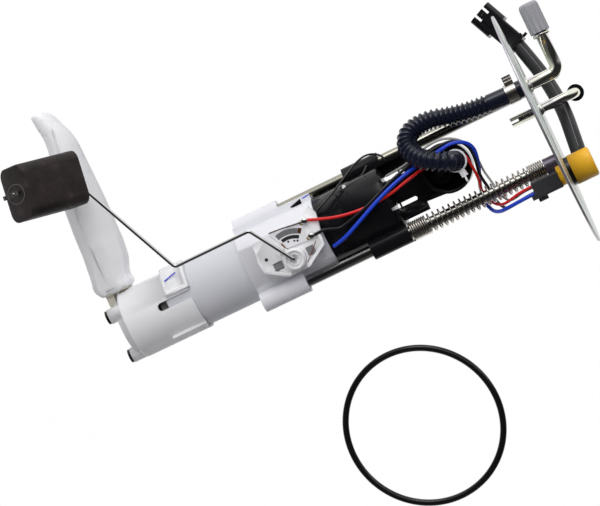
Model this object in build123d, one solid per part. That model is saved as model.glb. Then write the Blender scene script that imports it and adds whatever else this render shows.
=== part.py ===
from build123d import *
import os
from math import atan2, cos, degrees, pi, radians, sin, tan

# Fuel pump module, as it hangs in the tank: +Z points out of the tank, the origin is the centre of the
# flange rim's underside, the face that seals on the tank. Lengths in mm.

# Fits
still_gap = 0.05
run_gap = 0.05
air_gap = 0.4

# Flange plate: a stamped disc with a raised middle
flange_dia = 155.0
flange_thk = 1.6
dish_dia = 118.0
dish_rise = 1.0
dish_slope = 2.0
under_z = dish_rise
top_z = dish_rise + flange_thk

# Guide rods
rod_dia = 7.5
rod_chamfer = 0.8
spacer_dia = 11.5
spacer_length = 10.5
retainer_dia = 10.2
retainer_thk = 1.2

# Fuel tubes
tube_wall = 0.9
braze_height = 2.0
braze_width = 2.0
supply_dia = 7.94
supply_at = (-29.0, -2.0)
supply_elbow_z = 23.5
supply_bend = 5.5
supply_reach = 43.5
supply_stub = 22.0
bead_dia = 11.4
bead_width = 2.4
bead_back = 18.6
return_dia = 6.35
return_at = (-12.4, 1.0)
return_elbow_z = 26.8
return_bend = 7.0
return_reach = 24.0
return_stub = 17.0
return_slot = 1.6
return_slot_depth = 5.0

# Shipping caps
supply_cap_dia = 13.0
supply_cap_length = 20.0
supply_cap_floor = 2.0
flute_count = 18
flute_r = 0.55
return_cap_dia = 10.7
return_cap_length = 16.0
return_cap_floor = 1.8

# Coil spring, relaxed enough to hold the carriage down
spring_dia = 12.9
spring_wire = 1.45
spring_pitch = 3.63
spring_closed_top = 7
spring_closed_bottom = 8

# Electrical pass-through
pass_at = (30.0, -26.5)
pass_dia = 19.0
pass_height = 14.2
pass_neck_dia = 11.0
pass_collar_dia = 12.6
pass_collar_thk = 5.0
gasket_thk = 2.6
plug_size = (10.6, 11.4, 17.5)
plug_offset = (1.5, -1.0)
plug_latch = (2.4, 5.0, 6.0)
plug_step = (3.0, 2.8, 2.6)

# Lead and its connector
lead_dia = 9.6
route_share = 0.45
lead_route = [
    (24.1, -21.9, 13.0),
    (11.0, -12.0, 14.2),
    (1.5, -1.5, 15.2),
    (-7.0, 11.0, 15.4),
    (-17.0, 24.5, 14.8),
    (-29.0, 37.5, 13.2),
    (-42.5, 50.0, 10.2),
    (-56.5, 61.0, 6.4),
]
connector_tip = (-86.5, 65.5, -6.8)
connector_rear_size = (11.5, 13.2, 19.0)
connector_front_size = (11.5, 17.4, 15.0)
connector_round = 2.9
connector_wall = 1.5
connector_band = (0.9, 1.6, 2.6)
connector_pin = (2.0, 3.0, 1.4)
socket_depth = 13.0
terminal_width = 1.5
terminal_length = 7.0
terminal_pitch = 4.6
lock_size = (1.6, 5.2, 12.5)
lock_back = 0.6
lock_window = (2.4, 1.5)
lock_window_back = 3.4
latch_gap = 1.6
latch_slot = 5.2

# Outlet hose, its clamp and the tie
hose_dia = 11.5
hose_bore = 8.1
hose_route = [
    (-29.0, -2.0, 0.4),
    (-28.9, -2.0, -26.0),
    (-33.0, -3.0, -47.0),
    (-38.5, -6.0, -66.0),
    (-36.5, -13.0, -80.5),
    (-26.5, -21.5, -84.0),
    (-16.5, -30.0, -77.0),
    (-9.6, -33.5, -65.6),
    (-6.2, -29.4, -57.4),
    (-6.2, -20.0, -57.0),
]
clamp_z = -8.5
clamp_width = 7.0
clamp_thk = 0.8
clamp_ear = (3.4, 2.2, 5.0)
clamp_ear_z = (-0.9, 2.3)
tie_width = 2.6
tie_thk = 1.1
tie_head = (4.6, 4.0, 4.2)
tie_tail = (1.6, 1.0, 9.0)
tie_back = 3.6

# Wires between the plug, the pump and the level sender
wire_dia = {"blue": 2.8, "red": 2.2, "black": 2.2, "white": 1.9}
wire_route = {
    "blue": [
        (9.0, -23.4, -148.2),
        (7.8, -27.6, -140.0),
        (2.0, -28.6, -126.5),
        (-5.0, -28.6, -110.5),
        (-10.6, -24.6, -95.0),
        (-13.8, -19.4, -80.5),
        (-15.8, -18.4, -66.0),
        (-17.6, -18.8, -53.0),
        (-10.8, -15.0, -43.2),
        (2.6, -9.0, -46.0),
        (13.0, -4.2, -51.0),
        (22.5, -3.4, -53.2),
        (31.5, -8.5, -51.2),
        (34.4, -17.0, -46.4),
        (33.9, -25.0, -38.5),
        (33.2, -27.9, -30.0),
        (33.0, -27.8, -21.8),
    ],
    "red": [
        (-12.8, -29.6, -155.3),
        (-9.6, -29.3, -147.5),
        (-6.0, -27.4, -136.5),
        (-4.2, -25.4, -124.0),
        (-3.9, -25.2, -112.0),
        (-5.2, -25.2, -101.0),
        (-8.0, -22.4, -90.0),
        (-10.6, -18.6, -78.0),
        (-12.0, -18.3, -66.5),
        (-12.8, -18.1, -57.0),
        (-8.4, -18.0, -50.6),
        (1.5, -18.4, -49.6),
        (10.5, -14.0, -49.4),
        (17.0, -7.3, -51.8),
        (25.4, -7.0, -50.0),
        (31.2, -13.2, -44.4),
        (30.4, -21.6, -37.0),
        (28.6, -27.0, -30.0),
        (28.4, -27.4, -21.8),
    ],
    "black": [
        (-2.6, -29.6, -155.3),
        (-3.3, -29.4, -149.4),
        (-1.4, -27.6, -144.6),
        (0.8, -26.0, -139.9),
        (-0.3, -26.2, -134.0),
        (-2.0, -26.8, -127.6),
        (-4.1, -27.7, -119.0),
        (-7.4, -26.9, -110.4),
        (-10.9, -25.4, -101.8),
        (-13.7, -23.4, -94.0),
        (-16.9, -18.7, -80.5),
        (-18.8, -17.8, -66.0),
        (-20.8, -17.6, -53.0),
        (-13.5, -15.6, -39.8),
        (2.6, -10.8, -41.4),
        (13.0, -10.6, -44.0),
        (19.0, -6.2, -46.6),
        (27.0, -4.9, -46.4),
        (33.4, -10.8, -43.4),
        (34.4, -18.2, -39.0),
        (33.0, -23.4, -31.4),
        (32.5, -24.0, -21.8),
    ],
    "white": [
        (-16.5, -6.5, -101.6),
        (-16.9, -7.6, -92.5),
        (-18.6, -13.0, -82.0),
        (-22.4, -14.8, -70.0),
        (-22.4, -14.2, -57.5),
        (-15.0, -11.4, -45.6),
        (-5.0, -8.4, -41.4),
        (6.5, -7.2, -42.6),
        (16.0, -6.8, -42.4),
        (25.6, -7.4, -42.0),
        (31.0, -13.8, -38.2),
        (30.4, -20.4, -32.6),
        (29.2, -23.8, -28.0),
        (29.2, -24.0, -21.8),
    ],
}

# Tank seal ring, lying apart from the module
ring_mean_dia = 101.4
ring_section = 3.5
ring_centre = (135.0, 0.0, -148.4)
ring_normal = (0.08, -0.985, -0.156)

# Carriage: everything below hangs on it. The reservoir's tube sets the shells, and they set the rods' places.
carriage_x = -1.0
reservoir_dia = 42.0
reservoir_wall = 1.4
shell_wall = 2.35
shell_dia = reservoir_dia + 2 * (still_gap + shell_wall)
rod_land = 0.55
rod_circle = shell_dia / 2 + rod_land + rod_dia / 2
rod_turns = (-34.2, 159.0)
front_rod, rear_rod = [(carriage_x + rod_circle * cos(radians(turn)), rod_circle * sin(radians(turn)))
                       for turn in rod_turns]
cut_past = 1.0
shoulder_z = -102.0
shoulder_round = 6.0
shoulder_thk = 6.5
cover_bottom_z = -150.6
cover_wall = 2.0
cover_floor = 2.9
skirt_depth = 14.0
skirt_gap = 0.2
sleeve_wall = 2.45
sleeve_top_z = -102.4
front_sleeve_bottom_z = -128.8
rear_sleeve_bottom_z = -127.4
web_side = 1.1
web_clear = 1.6
web_x = (carriage_x - shell_dia / 2 - web_side, front_rod[0] - rod_dia / 2 - sleeve_wall - web_clear)
web_y = (-2.0, 1.0)
web_top_z = -85.5
web_root = 3.0
web_flange_depth = 9.0
web_flange_thk = 2.0
slot_width = 2.6
slot_z = (-105.8, -90.0)
slots = [(-14.9, -93.5), (4.0, -101.4)]
slot_bar = 1.1
peep_hole_dia = 2.8
peep_hole_in = 2.7
peep_hole_up = 22.4
peep_hole_tilt = 6.3
cup_at = (-4.5, -64.5)
cup_dia = 32.0
cup_front_y = -16.0
cup_back_y = 5.0
cup_wall = 2.0
cup_floor = 2.5
cup_neck_drop = (6.0, 3.0)
regulator_dia = 16.0
regulator_at = (-4.0, -70.2)
regulator_thk = 9.0
port_dia = 7.4
port_bore = 4.0
port_insert = 4.6

# Pump
pump_dia = 36.0
pump_wall = 1.6
pump_drop = 13.4
pump_length = 98.0
pump_top_z = cover_bottom_z - pump_drop
pump_bottom_z = pump_top_z - pump_length
cap_height = 7.0
nipple_dia = 8.0
nipple_bore = 4.4
nipple_height = 23.0
nipple_top_z = pump_top_z + nipple_height
nipple_gap = 0.2
nipple_socket_depth = 12.0
housing_thk = 9.0
cover_thk = 6.0
impeller_dia = 28.4
impeller_thk = 3.8
impeller_side_gap = 0.2
impeller_blades = 24
shaft_dia = 4.0
armature_dia = 25.6
armature_lift = 19.5
armature_length = 46.5
armature_z = (pump_bottom_z + armature_lift, pump_bottom_z + armature_lift + armature_length)
armature_slots = 8
commutator_dia = 14.0
commutator_neck = 6.0
commutator_length = 12.0
commutator_z = (armature_z[1] + commutator_neck, armature_z[1] + commutator_neck + commutator_length)
magnet_thk = 3.4
magnet_arc = 140.0
brush_size = (6.0, 4.0, 5.0)
inlet_dia = 10.0
poppet_dia = 3.6

# Reservoir tube and cup
reservoir_tail = 24.0
reservoir_bottom_z = pump_bottom_z - reservoir_tail
cup_thk = 1.55
cup_shell_dia = reservoir_dia + 2 * (still_gap + cup_thk)
cup_base_thk = 2.0
cup_ledge = 2.0
cup_height = 46.5
cup_bottom_z = reservoir_bottom_z - cup_base_thk - cup_ledge
cup_top_z = cup_bottom_z + cup_height
finger_slot_width = 5.2
finger_slot_length = 22.6
finger_slot_turns = (-96.0, -20.0, 70.0, 178.0)
window_turn = finger_slot_turns[0]
window_height = 6.4
pad_turns = (-106.0, -162.0)
pad_rise = 2.8
pad_span = (-14.5, 1.5)
pad_frame = 2.4
pad_recess = 0.9
lug_turn = -34.0
lug_width = 5.0
lug_rise = 2.2
lug_length = 23.5
base_ring_dia = 37.0
base_ring_height = 4.0
foot_dia = 9.8
foot_circle = 17.5
foot_turn = -8.0
foot_height = 8.2
foot_end_z = cup_bottom_z - foot_height
pad_thk = 1.8

# Strainer: the neck's and the sock's heights count from the cup's base
neck_box = ((-31.0, -23.9), (-8.0, 12.0), (cup_bottom_z - 7.0, cup_bottom_z + 8.5))
neck_lip = ((-24.2, -14.0), (-6.0, 9.0), (cup_bottom_z - 7.0, cup_bottom_z - 2.0))
neck_port_dia = 8.0
neck_port_z = cup_bottom_z + 5.0
sock_y = (-14.0, 24.0)
sock_edge = 3.0
sock_top = [(-31.3, 7.0), (-45.0, 11.5), (-76.0, 15.5), (-120.0, 14.5), (-148.0, 7.5)]
sock_bottom = [(-148.0, 1.5), (-120.0, 1.3), (-76.0, -5.7), (-45.0, -7.7), (-31.3, -7.5)]

# Sender collar
collar_height = 54.0
collar_z = (cover_bottom_z - air_gap - collar_height, cover_bottom_z - air_gap)
collar_sleeve_drop = 22.6
collar_sleeve_top_z = collar_z[1] - collar_sleeve_drop
collar_sleeve_dia = 13.0
shoulder_stop_z = collar_sleeve_top_z - 3.4
rod_tail = 3.0
rod_end_z = shoulder_stop_z - rod_tail
ear_reach = 4.0
ear_x = (carriage_x - shell_dia / 2 - ear_reach, carriage_x - reservoir_dia / 2 + ear_reach)
ear_y = (-3.0, -0.4)
notch_x = (ear_x[0] + 2.0, ear_x[0] + 6.0)
notch_z = (collar_z[1] - 15.0, collar_z[1] - 7.0)
sender_pad_x = (-14.0, 12.5)
sender_pad_z = (collar_z[1] - 43.0, collar_z[1] - 7.0)
sender_pad_stand = 1.8
sender_pad_y = -shell_dia / 2 - sender_pad_stand
sender_pad_root = 7.2

# Level sender: outlines and windows count from the pivot
pivot_at = (5.9, collar_z[1] - 21.5)
pivot_dia = 5.0
pivot_reach = 3.3
frame_thk = 2.8
frame_outline = [
    (-21.3, -10.5), (-21.3, 12.5), (-26.5, 20.9), (-20.9, 23.5), (-1.1, 20.5),
    (8.1, 6.0), (8.5, -8.5), (2.7, -20.7), (-8.5, -22.9), (-19.1, -21.5),
]
frame_windows = [(-0.9, 10.9, 5.6, 5.0), (-0.5, -11.7, 5.0, 6.0)]
rim_lines = [[(7.3, 5.6), (-1.3, 19.6), (-6.5, 19.7)], [(-13.5, -20.7), (-8.9, -21.7), (-0.5, -20.9), (7.5, -7.2)]]
rim_width = 2.0
rim_height = 2.2
rotor_dia = 14.0
rotor_y = (sender_pad_y - 8.8, sender_pad_y - 3.1)
rotor_arm = (14.0, 5.0, 2.0)
rotor_ring = (12.4, 10.4, 0.6)
rotor_jaw = (4.4, 4.6, 5.0)
rotor_jaw_at = 11.2
card_thk = 0.7
card_outline = [(-19.9, -8.5), (-20.1, 13.1), (-6.9, 12.1), (-8.3, -2.5)]
terminal_dia = 3.4
terminals_at = [(-18.9, 15.1), (-8.8, 15.1)]
wiper_size = (0.9, 0.4, 6.0)
wiper_gap = 0.3
wiper_turn = -108.0

# Float arm and float
arm_dia = 2.3
arm_y = rotor_y[0] - 2.2
arm_insert = 1.4
arm_bend = 3.2
arm_knee, arm_low, arm_end = [(pivot_at[0] + x, pivot_at[1] + z)
                              for x, z in [(-28.1, -17.9), (-28.0, -69.7), (-104.9, -104.1)]]
float_axis = (-0.12, -0.70, -0.70)
float_size = (32.0, 25.0, 38.0)
float_round = 5.0
float_from = 3.0
arm_tip = 45.0
clip_dia = 7.0
clip_thk = 1.2


def at(x, y, z):
    """Location of a point."""
    return Location((x, y, z))


def post(dia, z_low, z_high, x=0.0, y=0.0):
    """Upright cylinder between two heights."""
    return at(x, y, (z_low + z_high) / 2) * Cylinder(dia / 2, z_high - z_low)


def ring(outer, inner, z_low, z_high, x=0.0, y=0.0):
    """Upright tube between two heights."""
    return post(outer, z_low, z_high, x, y) - post(inner, z_low - 1, z_high + 1, x, y)


def block(x_span, y_span, z_span):
    """Box from its spans along the three axes."""
    size = [high - low for low, high in (x_span, y_span, z_span)]
    middle = [(high + low) / 2 for low, high in (x_span, y_span, z_span)]
    return at(*middle) * Box(*size)


def around(value, size):
    """Span of a given size about a middle."""
    return (value - size / 2, value + size / 2)


def rod_between(start, end, dia):
    """Cylinder from one point to another."""
    line = Vector(*end) - Vector(*start)
    plane = Plane(origin=start, z_dir=line)
    return plane * (at(0, 0, line.length / 2) * Cylinder(dia / 2, line.length))


def route_path(points, name):
    """Straight runs joined by arcs as large as the two runs of each corner allow."""
    spots = [Vector(*p) for p in points]
    radii = []
    for before, here, after in zip(spots, spots[1:], spots[2:]):
        half_turn = radians((here - before).get_angle(after - here)) / 2
        run = min((here - before).length, (after - here).length)
        radii.append(route_share * run / tan(half_turn))
    print(name, "arc radii", [round(r, 1) for r in radii])
    return FilletPolyline(*spots, radius=radii)


def pipe(path, dia, bore=0.0):
    """Round bar or tube along a path."""
    start = Plane(origin=path @ 0, z_dir=path % 0)
    bar = sweep(start * Circle(dia / 2), path)
    if bore:
        bar = bar - sweep(start * Circle(bore / 2), path)
    return bar


def checked_pipe(path, dia, name, bore=0.0):
    """Pipe whose volume is set against its section times its length."""
    bar = pipe(path, dia, bore)
    share = bar.volume / (pi * (dia**2 - bore**2) / 4 * path.length)
    print(name, "length", round(path.length, 1), "volume share", round(share, 4))
    return bar


def upright_outline(points, y_low, y_high):
    """Plate from an outline of (x, z) points, between two depths."""
    face = Plane.XZ * make_face(Polyline(*points, close=True))
    return at(0, y_high, 0) * extrude(face, amount=y_high - y_low, dir=(0, -1, 0))


def from_pivot(points):
    """Points given from the sender's pivot, as (x, z) of the part."""
    return [(pivot_at[0] + x, pivot_at[1] + z) for x, z in points]


def at_turn(turn, radius):
    """Point on a circle round the carriage axis, turn in degrees from +X."""
    return (carriage_x + radius * cos(radians(turn)), radius * sin(radians(turn)))


# Flange group


def flange_plate():
    rim = flange_dia / 2
    dish = dish_dia / 2
    low = Polyline((0, under_z), (dish - dish_slope, under_z), (dish, 0), (rim, 0), (rim, flange_thk),
                   (dish, flange_thk), (dish - dish_slope, top_z), (0, top_z), close=True)
    plate = revolve(Plane.XZ * make_face(low), Axis.Z)
    holes = [(supply_at, supply_dia), (return_at, return_dia), (pass_at, pass_neck_dia)]
    for (x, y), dia in holes:
        plate -= post(dia + 2 * still_gap, -1, top_z + 1, x, y)
    return plate


def braze(x, y, dia):
    """Filler ring that joins a tube to the plate."""
    cone = Cone(dia / 2 + braze_width, dia / 2, braze_height)
    return at(x, y, top_z + braze_height / 2) * cone


def supply_tube():
    x, y = supply_at
    z = supply_elbow_z
    path = FilletPolyline((x, y, -supply_stub), (x, y, z), (x - supply_reach, y, z), radius=supply_bend)
    bead_x = x - supply_reach + bead_back
    bead = at(bead_x, y, z) * Rotation(0, 90, 0) * Cylinder(bead_dia / 2, bead_width)
    bead = fillet(bead.edges().filter_by(GeomType.CIRCLE), bead_width / 2.2)
    bar = pipe(path, supply_dia) + braze(x, y, supply_dia) + bead
    bore = supply_dia - 2 * tube_wall
    return bar - pipe(path, bore)


def return_tube():
    x, y = return_at
    z = return_elbow_z
    path = FilletPolyline((x, y, -return_stub), (x, y, z), (x, y + return_reach, z), radius=return_bend)
    bar = pipe(path, return_dia) + braze(x, y, return_dia)
    bar -= pipe(path, return_dia - 2 * tube_wall)
    slot = block(around(x, return_slot), around(y, 2 * return_dia),
                 (-return_stub - 1, -return_stub + return_slot_depth))
    return bar - slot


def supply_tube_cap():
    x = supply_at[0] - supply_reach
    mouth = x + bead_back - bead_width / 2 - still_gap - 0.3
    body = Cylinder(supply_cap_dia / 2, supply_cap_length)
    body = fillet(body.edges().group_by(Axis.Z)[-1], 2.5)
    for k in range(flute_count):
        turn = 2 * pi * k / flute_count
        groove = at(supply_cap_dia / 2 * cos(turn), supply_cap_dia / 2 * sin(turn), -2.0)
        body -= groove * Cylinder(flute_r, supply_cap_length)
    depth = supply_cap_length - supply_cap_floor
    body -= at(0, 0, -supply_cap_floor / 2 - 0.5) * Cylinder(supply_dia / 2 + run_gap, depth + 1)
    place = at(mouth - supply_cap_length / 2, supply_at[1], supply_elbow_z) * Rotation(0, -90, 0)
    return place * body


def return_tube_cap():
    end = return_at[1] + return_reach
    body = Cylinder(return_cap_dia / 2, return_cap_length)
    body = fillet(body.edges().group_by(Axis.Z)[-1], 1.5)
    depth = return_cap_length - return_cap_floor
    body -= at(0, 0, -return_cap_floor / 2 - 0.5) * Cylinder(return_dia / 2 + run_gap, depth + 1)
    middle = end + return_cap_floor + 0.5 - return_cap_length / 2
    return at(return_at[0], middle, return_elbow_z) * Rotation(-90, 0, 0) * body


def guide_rod(x, y):
    rod = post(rod_dia, rod_end_z, under_z, x, y)
    return chamfer(rod.edges().group_by(Axis.Z)[0], rod_chamfer)


def rod_spacer():
    x, y = front_rod
    return ring(spacer_dia, rod_dia + 2 * still_gap, under_z - spacer_length, under_z, x, y)


def rod_retainers():
    top = shoulder_stop_z - 0.3
    nuts = [ring(retainer_dia, rod_dia + 2 * still_gap, top - retainer_thk, top, x, y)
            for x, y in (front_rod, rear_rod)]
    return Compound(nuts)


def coil_spring():
    """Closed coils at both ends and open turns between, as one ribbed sleeve round the front rod."""
    outer = spring_dia / 2
    root = outer - spring_wire * 0.6
    inner = outer - spring_wire
    top = under_z - spacer_length - still_gap
    bottom = sleeve_top_z + still_gap
    open_top = top - spring_closed_top * spring_wire
    open_bottom = bottom + spring_closed_bottom * spring_wire
    turns = round((open_top - open_bottom) / spring_pitch)
    step = (open_top - open_bottom) / turns
    edge = [(outer, top), (outer, open_top)]
    for k in range(turns):
        z = open_top - k * step
        edge += [(root, z - step / 2), (outer, z - step)]
    points = [*edge, (outer, bottom), (inner, bottom), (inner, top)]
    sleeve = revolve(Plane.XZ * make_face(Polyline(*points, close=True)), Axis.Z)
    return at(front_rod[0], front_rod[1], 0) * sleeve


def pass_through():
    x, y = pass_at
    low = top_z + gasket_thk
    turret = post(pass_dia, low, low + pass_height, x, y)
    turret = fillet(turret.edges().group_by(Axis.Z)[-1], 1.5)
    neck = post(pass_neck_dia, under_z - 1, low + 1, x, y)
    collar = post(pass_collar_dia, under_z - pass_collar_thk, under_z, x, y)
    body = turret + neck + collar
    seat = Vector(*lead_route[0])
    outward = (Vector(*lead_route[1]) - seat).normalized()
    return body - rod_between(seat, seat + outward * 12, lead_dia + 2 * still_gap)


def pass_through_gasket():
    return ring(pass_dia - 0.6, pass_neck_dia + 2 * still_gap, top_z, top_z + gasket_thk, *pass_at)


def plug_spans():
    x, y = pass_at[0] + plug_offset[0], pass_at[1] + plug_offset[1]
    top = under_z - pass_collar_thk
    return around(x, plug_size[0]), around(y, plug_size[1]), (top - plug_size[2], top)


def harness_plug():
    x_span, y_span, z_span = plug_spans()
    body = block(x_span, y_span, z_span)
    body = fillet(body.edges().filter_by(Axis.Z), 1.0)
    y_mid = sum(y_span) / 2
    latch = block((x_span[1] - 0.5, x_span[1] + plug_latch[0]), around(y_mid, plug_latch[1]),
                  (z_span[0] + 0.6, z_span[0] + 0.6 + plug_latch[2]))
    step = block((x_span[1] - plug_step[0], x_span[1]), around(y_mid - 4.1, plug_step[1]),
                 (z_span[0] - plug_step[2], z_span[0] + 0.5))
    return body + latch + step


def lead_sheath():
    """Sheath run a little way past the connector's rear and cut off flush with it."""
    last, before = Vector(*lead_route[-1]), Vector(*lead_route[-2])
    run_out = last + (last - before).normalized() * lead_dia / 2
    path = route_path([*lead_route[:-1], tuple(run_out)], "lead sheath")
    bar = checked_pipe(path, lead_dia, "lead sheath")
    plane, length = connector_plane()
    return bar - plane * (at(0, 0, length) * Box(4 * lead_dia, 4 * lead_dia, 2 * length))


def connector_plane():
    """Plane at the connector's rear, its Z axis towards the mating face."""
    rear = Vector(*lead_route[-1])
    line = Vector(*connector_tip) - rear
    return Plane(origin=rear, x_dir=(0, 1, 0), z_dir=line), line.length


def lead_connector():
    """Shroud with two rounded sides and a slotted middle, on a narrower body with a band and a locating pin."""
    plane, length = connector_plane()
    w, h, rear_length = connector_rear_size
    rear = at(0, 0, rear_length / 2) * Box(w, h, rear_length)
    rear = fillet(rear.edges().filter_by(Axis.Z), 1.2)
    rise, width, spot = connector_band
    band = at(0, 0, spot) * Box(w + rise, h + rise, width)
    dia, reach, spot = connector_pin
    pin = at(0, -h / 2 - reach / 2 + 0.5, spot) * Rotation(90, 0, 0) * Cylinder(dia / 2, reach + 1)
    fw, fh, front_length = connector_front_size
    front = at(0, 0, length - front_length / 2) * Box(fw, fh, front_length)
    front = fillet(front.edges().filter_by(Axis.Z), connector_round)
    body = rear + band + pin + front
    body -= at(0, 0, length) * Box(fw - 2 * connector_wall, fh - 2 * connector_wall, 2 * socket_depth)
    for side in (-1, 1):
        y = side * (lock_size[1] + latch_gap) / 2
        body -= at(0, y, length) * Box(2 * fw, latch_gap, 2 * latch_slot)
    return plane * (body - lock_hole(length))


def lock_hole(length):
    """Window through the lock tab and both sides of the shroud."""
    return at(0, 0, length - lock_window_back) * Box(4 * connector_front_size[0], *lock_window)


def connector_lock():
    plane, length = connector_plane()
    thk, width, run = lock_size
    x = -connector_front_size[0] / 2 - thk / 2 - still_gap
    bar = at(x, 0, length - run / 2 - lock_back) * Box(thk, width, run)
    return plane * (bar - lock_hole(length))


def connector_terminals():
    plane, length = connector_plane()
    low = length - socket_depth
    pins = []
    for i in (-0.5, 0.5):
        for j in (-0.5, 0.5):
            spot = at(i * terminal_pitch, j * terminal_pitch, low + terminal_length / 2)
            pins.append(plane * (spot * Box(terminal_width, terminal_width, terminal_length)))
    return Compound(pins)


def tank_seal_ring():
    plane = Plane(origin=ring_centre, z_dir=ring_normal)
    return plane * Torus(ring_mean_dia / 2, ring_section / 2)


def hose_clamp():
    x, y = supply_at
    outer = hose_dia + 2 * (still_gap + clamp_thk)
    band = ring(outer, hose_dia + 2 * still_gap, clamp_z - clamp_width / 2, clamp_z + clamp_width / 2, x, y)
    run, curl, width = clamp_ear
    for z, side in zip(clamp_ear_z, (-1, 1)):
        root, end = x - outer / 2 + 0.4, x - outer / 2 - run
        band += block((end, root), around(y, width), around(clamp_z + z, clamp_thk))
        loop = Rotation(90, 0, 0) * (Cylinder(curl, width) - Cylinder(curl - clamp_thk, width + 1))
        lift = clamp_z + z + side * (curl - clamp_thk / 2)
        loop = at(end, y, lift) * loop
        band += loop - block((end, end + 2 * curl), around(y, 2 * width), around(lift, 3 * curl))
    return band


def cable_tie(hose_path):
    """Tie round the hose end; its head and tail are on the side of the front rod."""
    spot = hose_path.length - tie_back
    centre = hose_path.position_at(spot / hose_path.length)
    line = hose_path.tangent_at(spot / hose_path.length)
    plane = Plane(origin=centre, x_dir=(1, 0, 0.15), z_dir=line)
    inner = hose_dia / 2 + air_gap
    band = plane * (Cylinder(inner + tie_thk, tie_width) - Cylinder(inner, tie_width + 1))
    w, d, h = tie_head
    head = plane * (at(inner + tie_thk + w / 2 - 0.6, 0, 0) * Box(w, d, h))
    tail = plane * (at(inner + tie_thk + w, 0, -3.4) * Rotation(0, -40, 0) * Box(*tie_tail))
    return band + head + tail


# Carriage group: pump bracket and outlet


def rod_sleeve(spot, z_low, z_high, outer=rod_dia + 2 * sleeve_wall):
    return post(outer, z_low, z_high, *spot)


def rod_bores(z_low, z_high):
    bores = [post(rod_dia + 2 * run_gap, z_low, z_high, *spot) for spot in (front_rod, rear_rod)]
    return bores[0] + bores[1]


def cup_cylinder(dia, y_low, y_high):
    x, z = cup_at
    return at(x, (y_low + y_high) / 2, z) * Rotation(90, 0, 0) * Cylinder(dia / 2, y_high - y_low)


def bracket_cover():
    """Dome over the pump's head, with the skirt the reservoir slips on and the socket of the pump's nipple."""
    skirt_outer = reservoir_dia / 2 - reservoir_wall - skirt_gap
    skirt_inner = pump_dia / 2 + air_gap
    skirt_z = cover_bottom_z - skirt_depth
    cover = post(shell_dia, cover_bottom_z, shoulder_z, carriage_x)
    cover = fillet(cover.edges().group_by(Axis.Z)[-1], shoulder_round)
    cover += post(2 * skirt_outer, skirt_z, cover_bottom_z + cut_past, carriage_x)
    cover -= post(2 * skirt_inner, skirt_z - cut_past, cover_bottom_z + cover_floor + 0.1, carriage_x)
    cover -= post(shell_dia - 2 * cover_wall, cover_bottom_z + cover_floor, shoulder_z - shoulder_thk, carriage_x)
    socket = nipple_dia + 2 * (nipple_gap + cover_wall)
    return cover + post(socket, nipple_top_z - nipple_socket_depth, shoulder_z - shoulder_thk + cut_past, carriage_x)


def bracket_web():
    """Upright web between the rod sleeves, with side flanges and the neck that carries the round cup."""
    web = block(web_x, web_y, (shoulder_z - web_root, web_top_z))
    for x, foot in ((web_x[0], shoulder_z - web_root), (web_x[1] - web_flange_thk, shoulder_z - cut_past)):
        web += block((x, x + web_flange_thk), (web_y[0] - web_flange_depth, web_y[1]), (foot, web_top_z))
    x, z = cup_at
    reach = cup_dia / 2
    neck = [(web_x[0] + 2 * web_flange_thk, web_top_z - 0.5), (x + reach - 2.5, web_top_z - 0.5),
            (x + reach - 1.5, z - cup_neck_drop[0]), (x, z), (x - reach + 0.5, z - cup_neck_drop[1])]
    return web + upright_outline(neck, *web_y)


def pump_bracket():
    sleeves = rod_sleeve(front_rod, front_sleeve_bottom_z, sleeve_top_z)
    sleeves += rod_sleeve(rear_rod, rear_sleeve_bottom_z, sleeve_top_z)
    body = bracket_cover() + sleeves + bracket_web() + cup_cylinder(cup_dia, cup_front_y, cup_back_y)
    body -= cup_cylinder(cup_dia - 2 * cup_wall, cup_front_y - cut_past, cup_back_y - cup_floor)
    body -= rod_bores(front_sleeve_bottom_z - cut_past, web_top_z + cut_past)
    for x, bar_z in slots:
        hole = block(around(x, slot_width), around(0, shell_dia), slot_z)
        body -= fillet(hole.edges().filter_by(Axis.Y), slot_width / 2.2)
        body += block(around(x, slot_width + 1), web_y, around(bar_z, slot_bar))
    hole = Rotation(90 + peep_hole_tilt, 0, 0) * Cylinder(peep_hole_dia / 2, shell_dia + 2 * cut_past)
    body -= at(carriage_x - shell_dia / 2 + peep_hole_in, 0, cover_bottom_z + peep_hole_up) * hole
    socket_low = nipple_top_z - nipple_socket_depth - cut_past
    body -= post(nipple_dia + 2 * nipple_gap, socket_low, nipple_top_z + cut_past, carriage_x)
    return body - post(nipple_bore, nipple_top_z, shoulder_z - shoulder_thk + 2.5, carriage_x)


def regulator():
    x, z = regulator_at
    floor = cup_back_y - cup_floor
    can = at(x, floor - regulator_thk / 2, z) * Rotation(90, 0, 0) * Cylinder(regulator_dia / 2, regulator_thk)
    can = chamfer(can.edges().group_by(Axis.Y)[0], 1.2)
    dome = at(x, floor - regulator_thk - 1.5, z) * Rotation(90, 0, 0) * Cylinder(4.0, 3.2)
    return can + dome


def outlet_port():
    """Stub on the cup's floor that the hose is pushed on."""
    x, y, z = hose_route[-1]
    tip, floor = y - port_insert, cup_back_y - cup_floor
    place = at(x, (tip + floor) / 2, z) * Rotation(90, 0, 0)
    return place * (Cylinder(port_dia / 2, floor - tip) - Cylinder(port_bore / 2, floor - tip + 1))


# Pump


def pump_shell():
    return ring(pump_dia, pump_dia - 2 * pump_wall, pump_bottom_z, pump_top_z, carriage_x)


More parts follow.
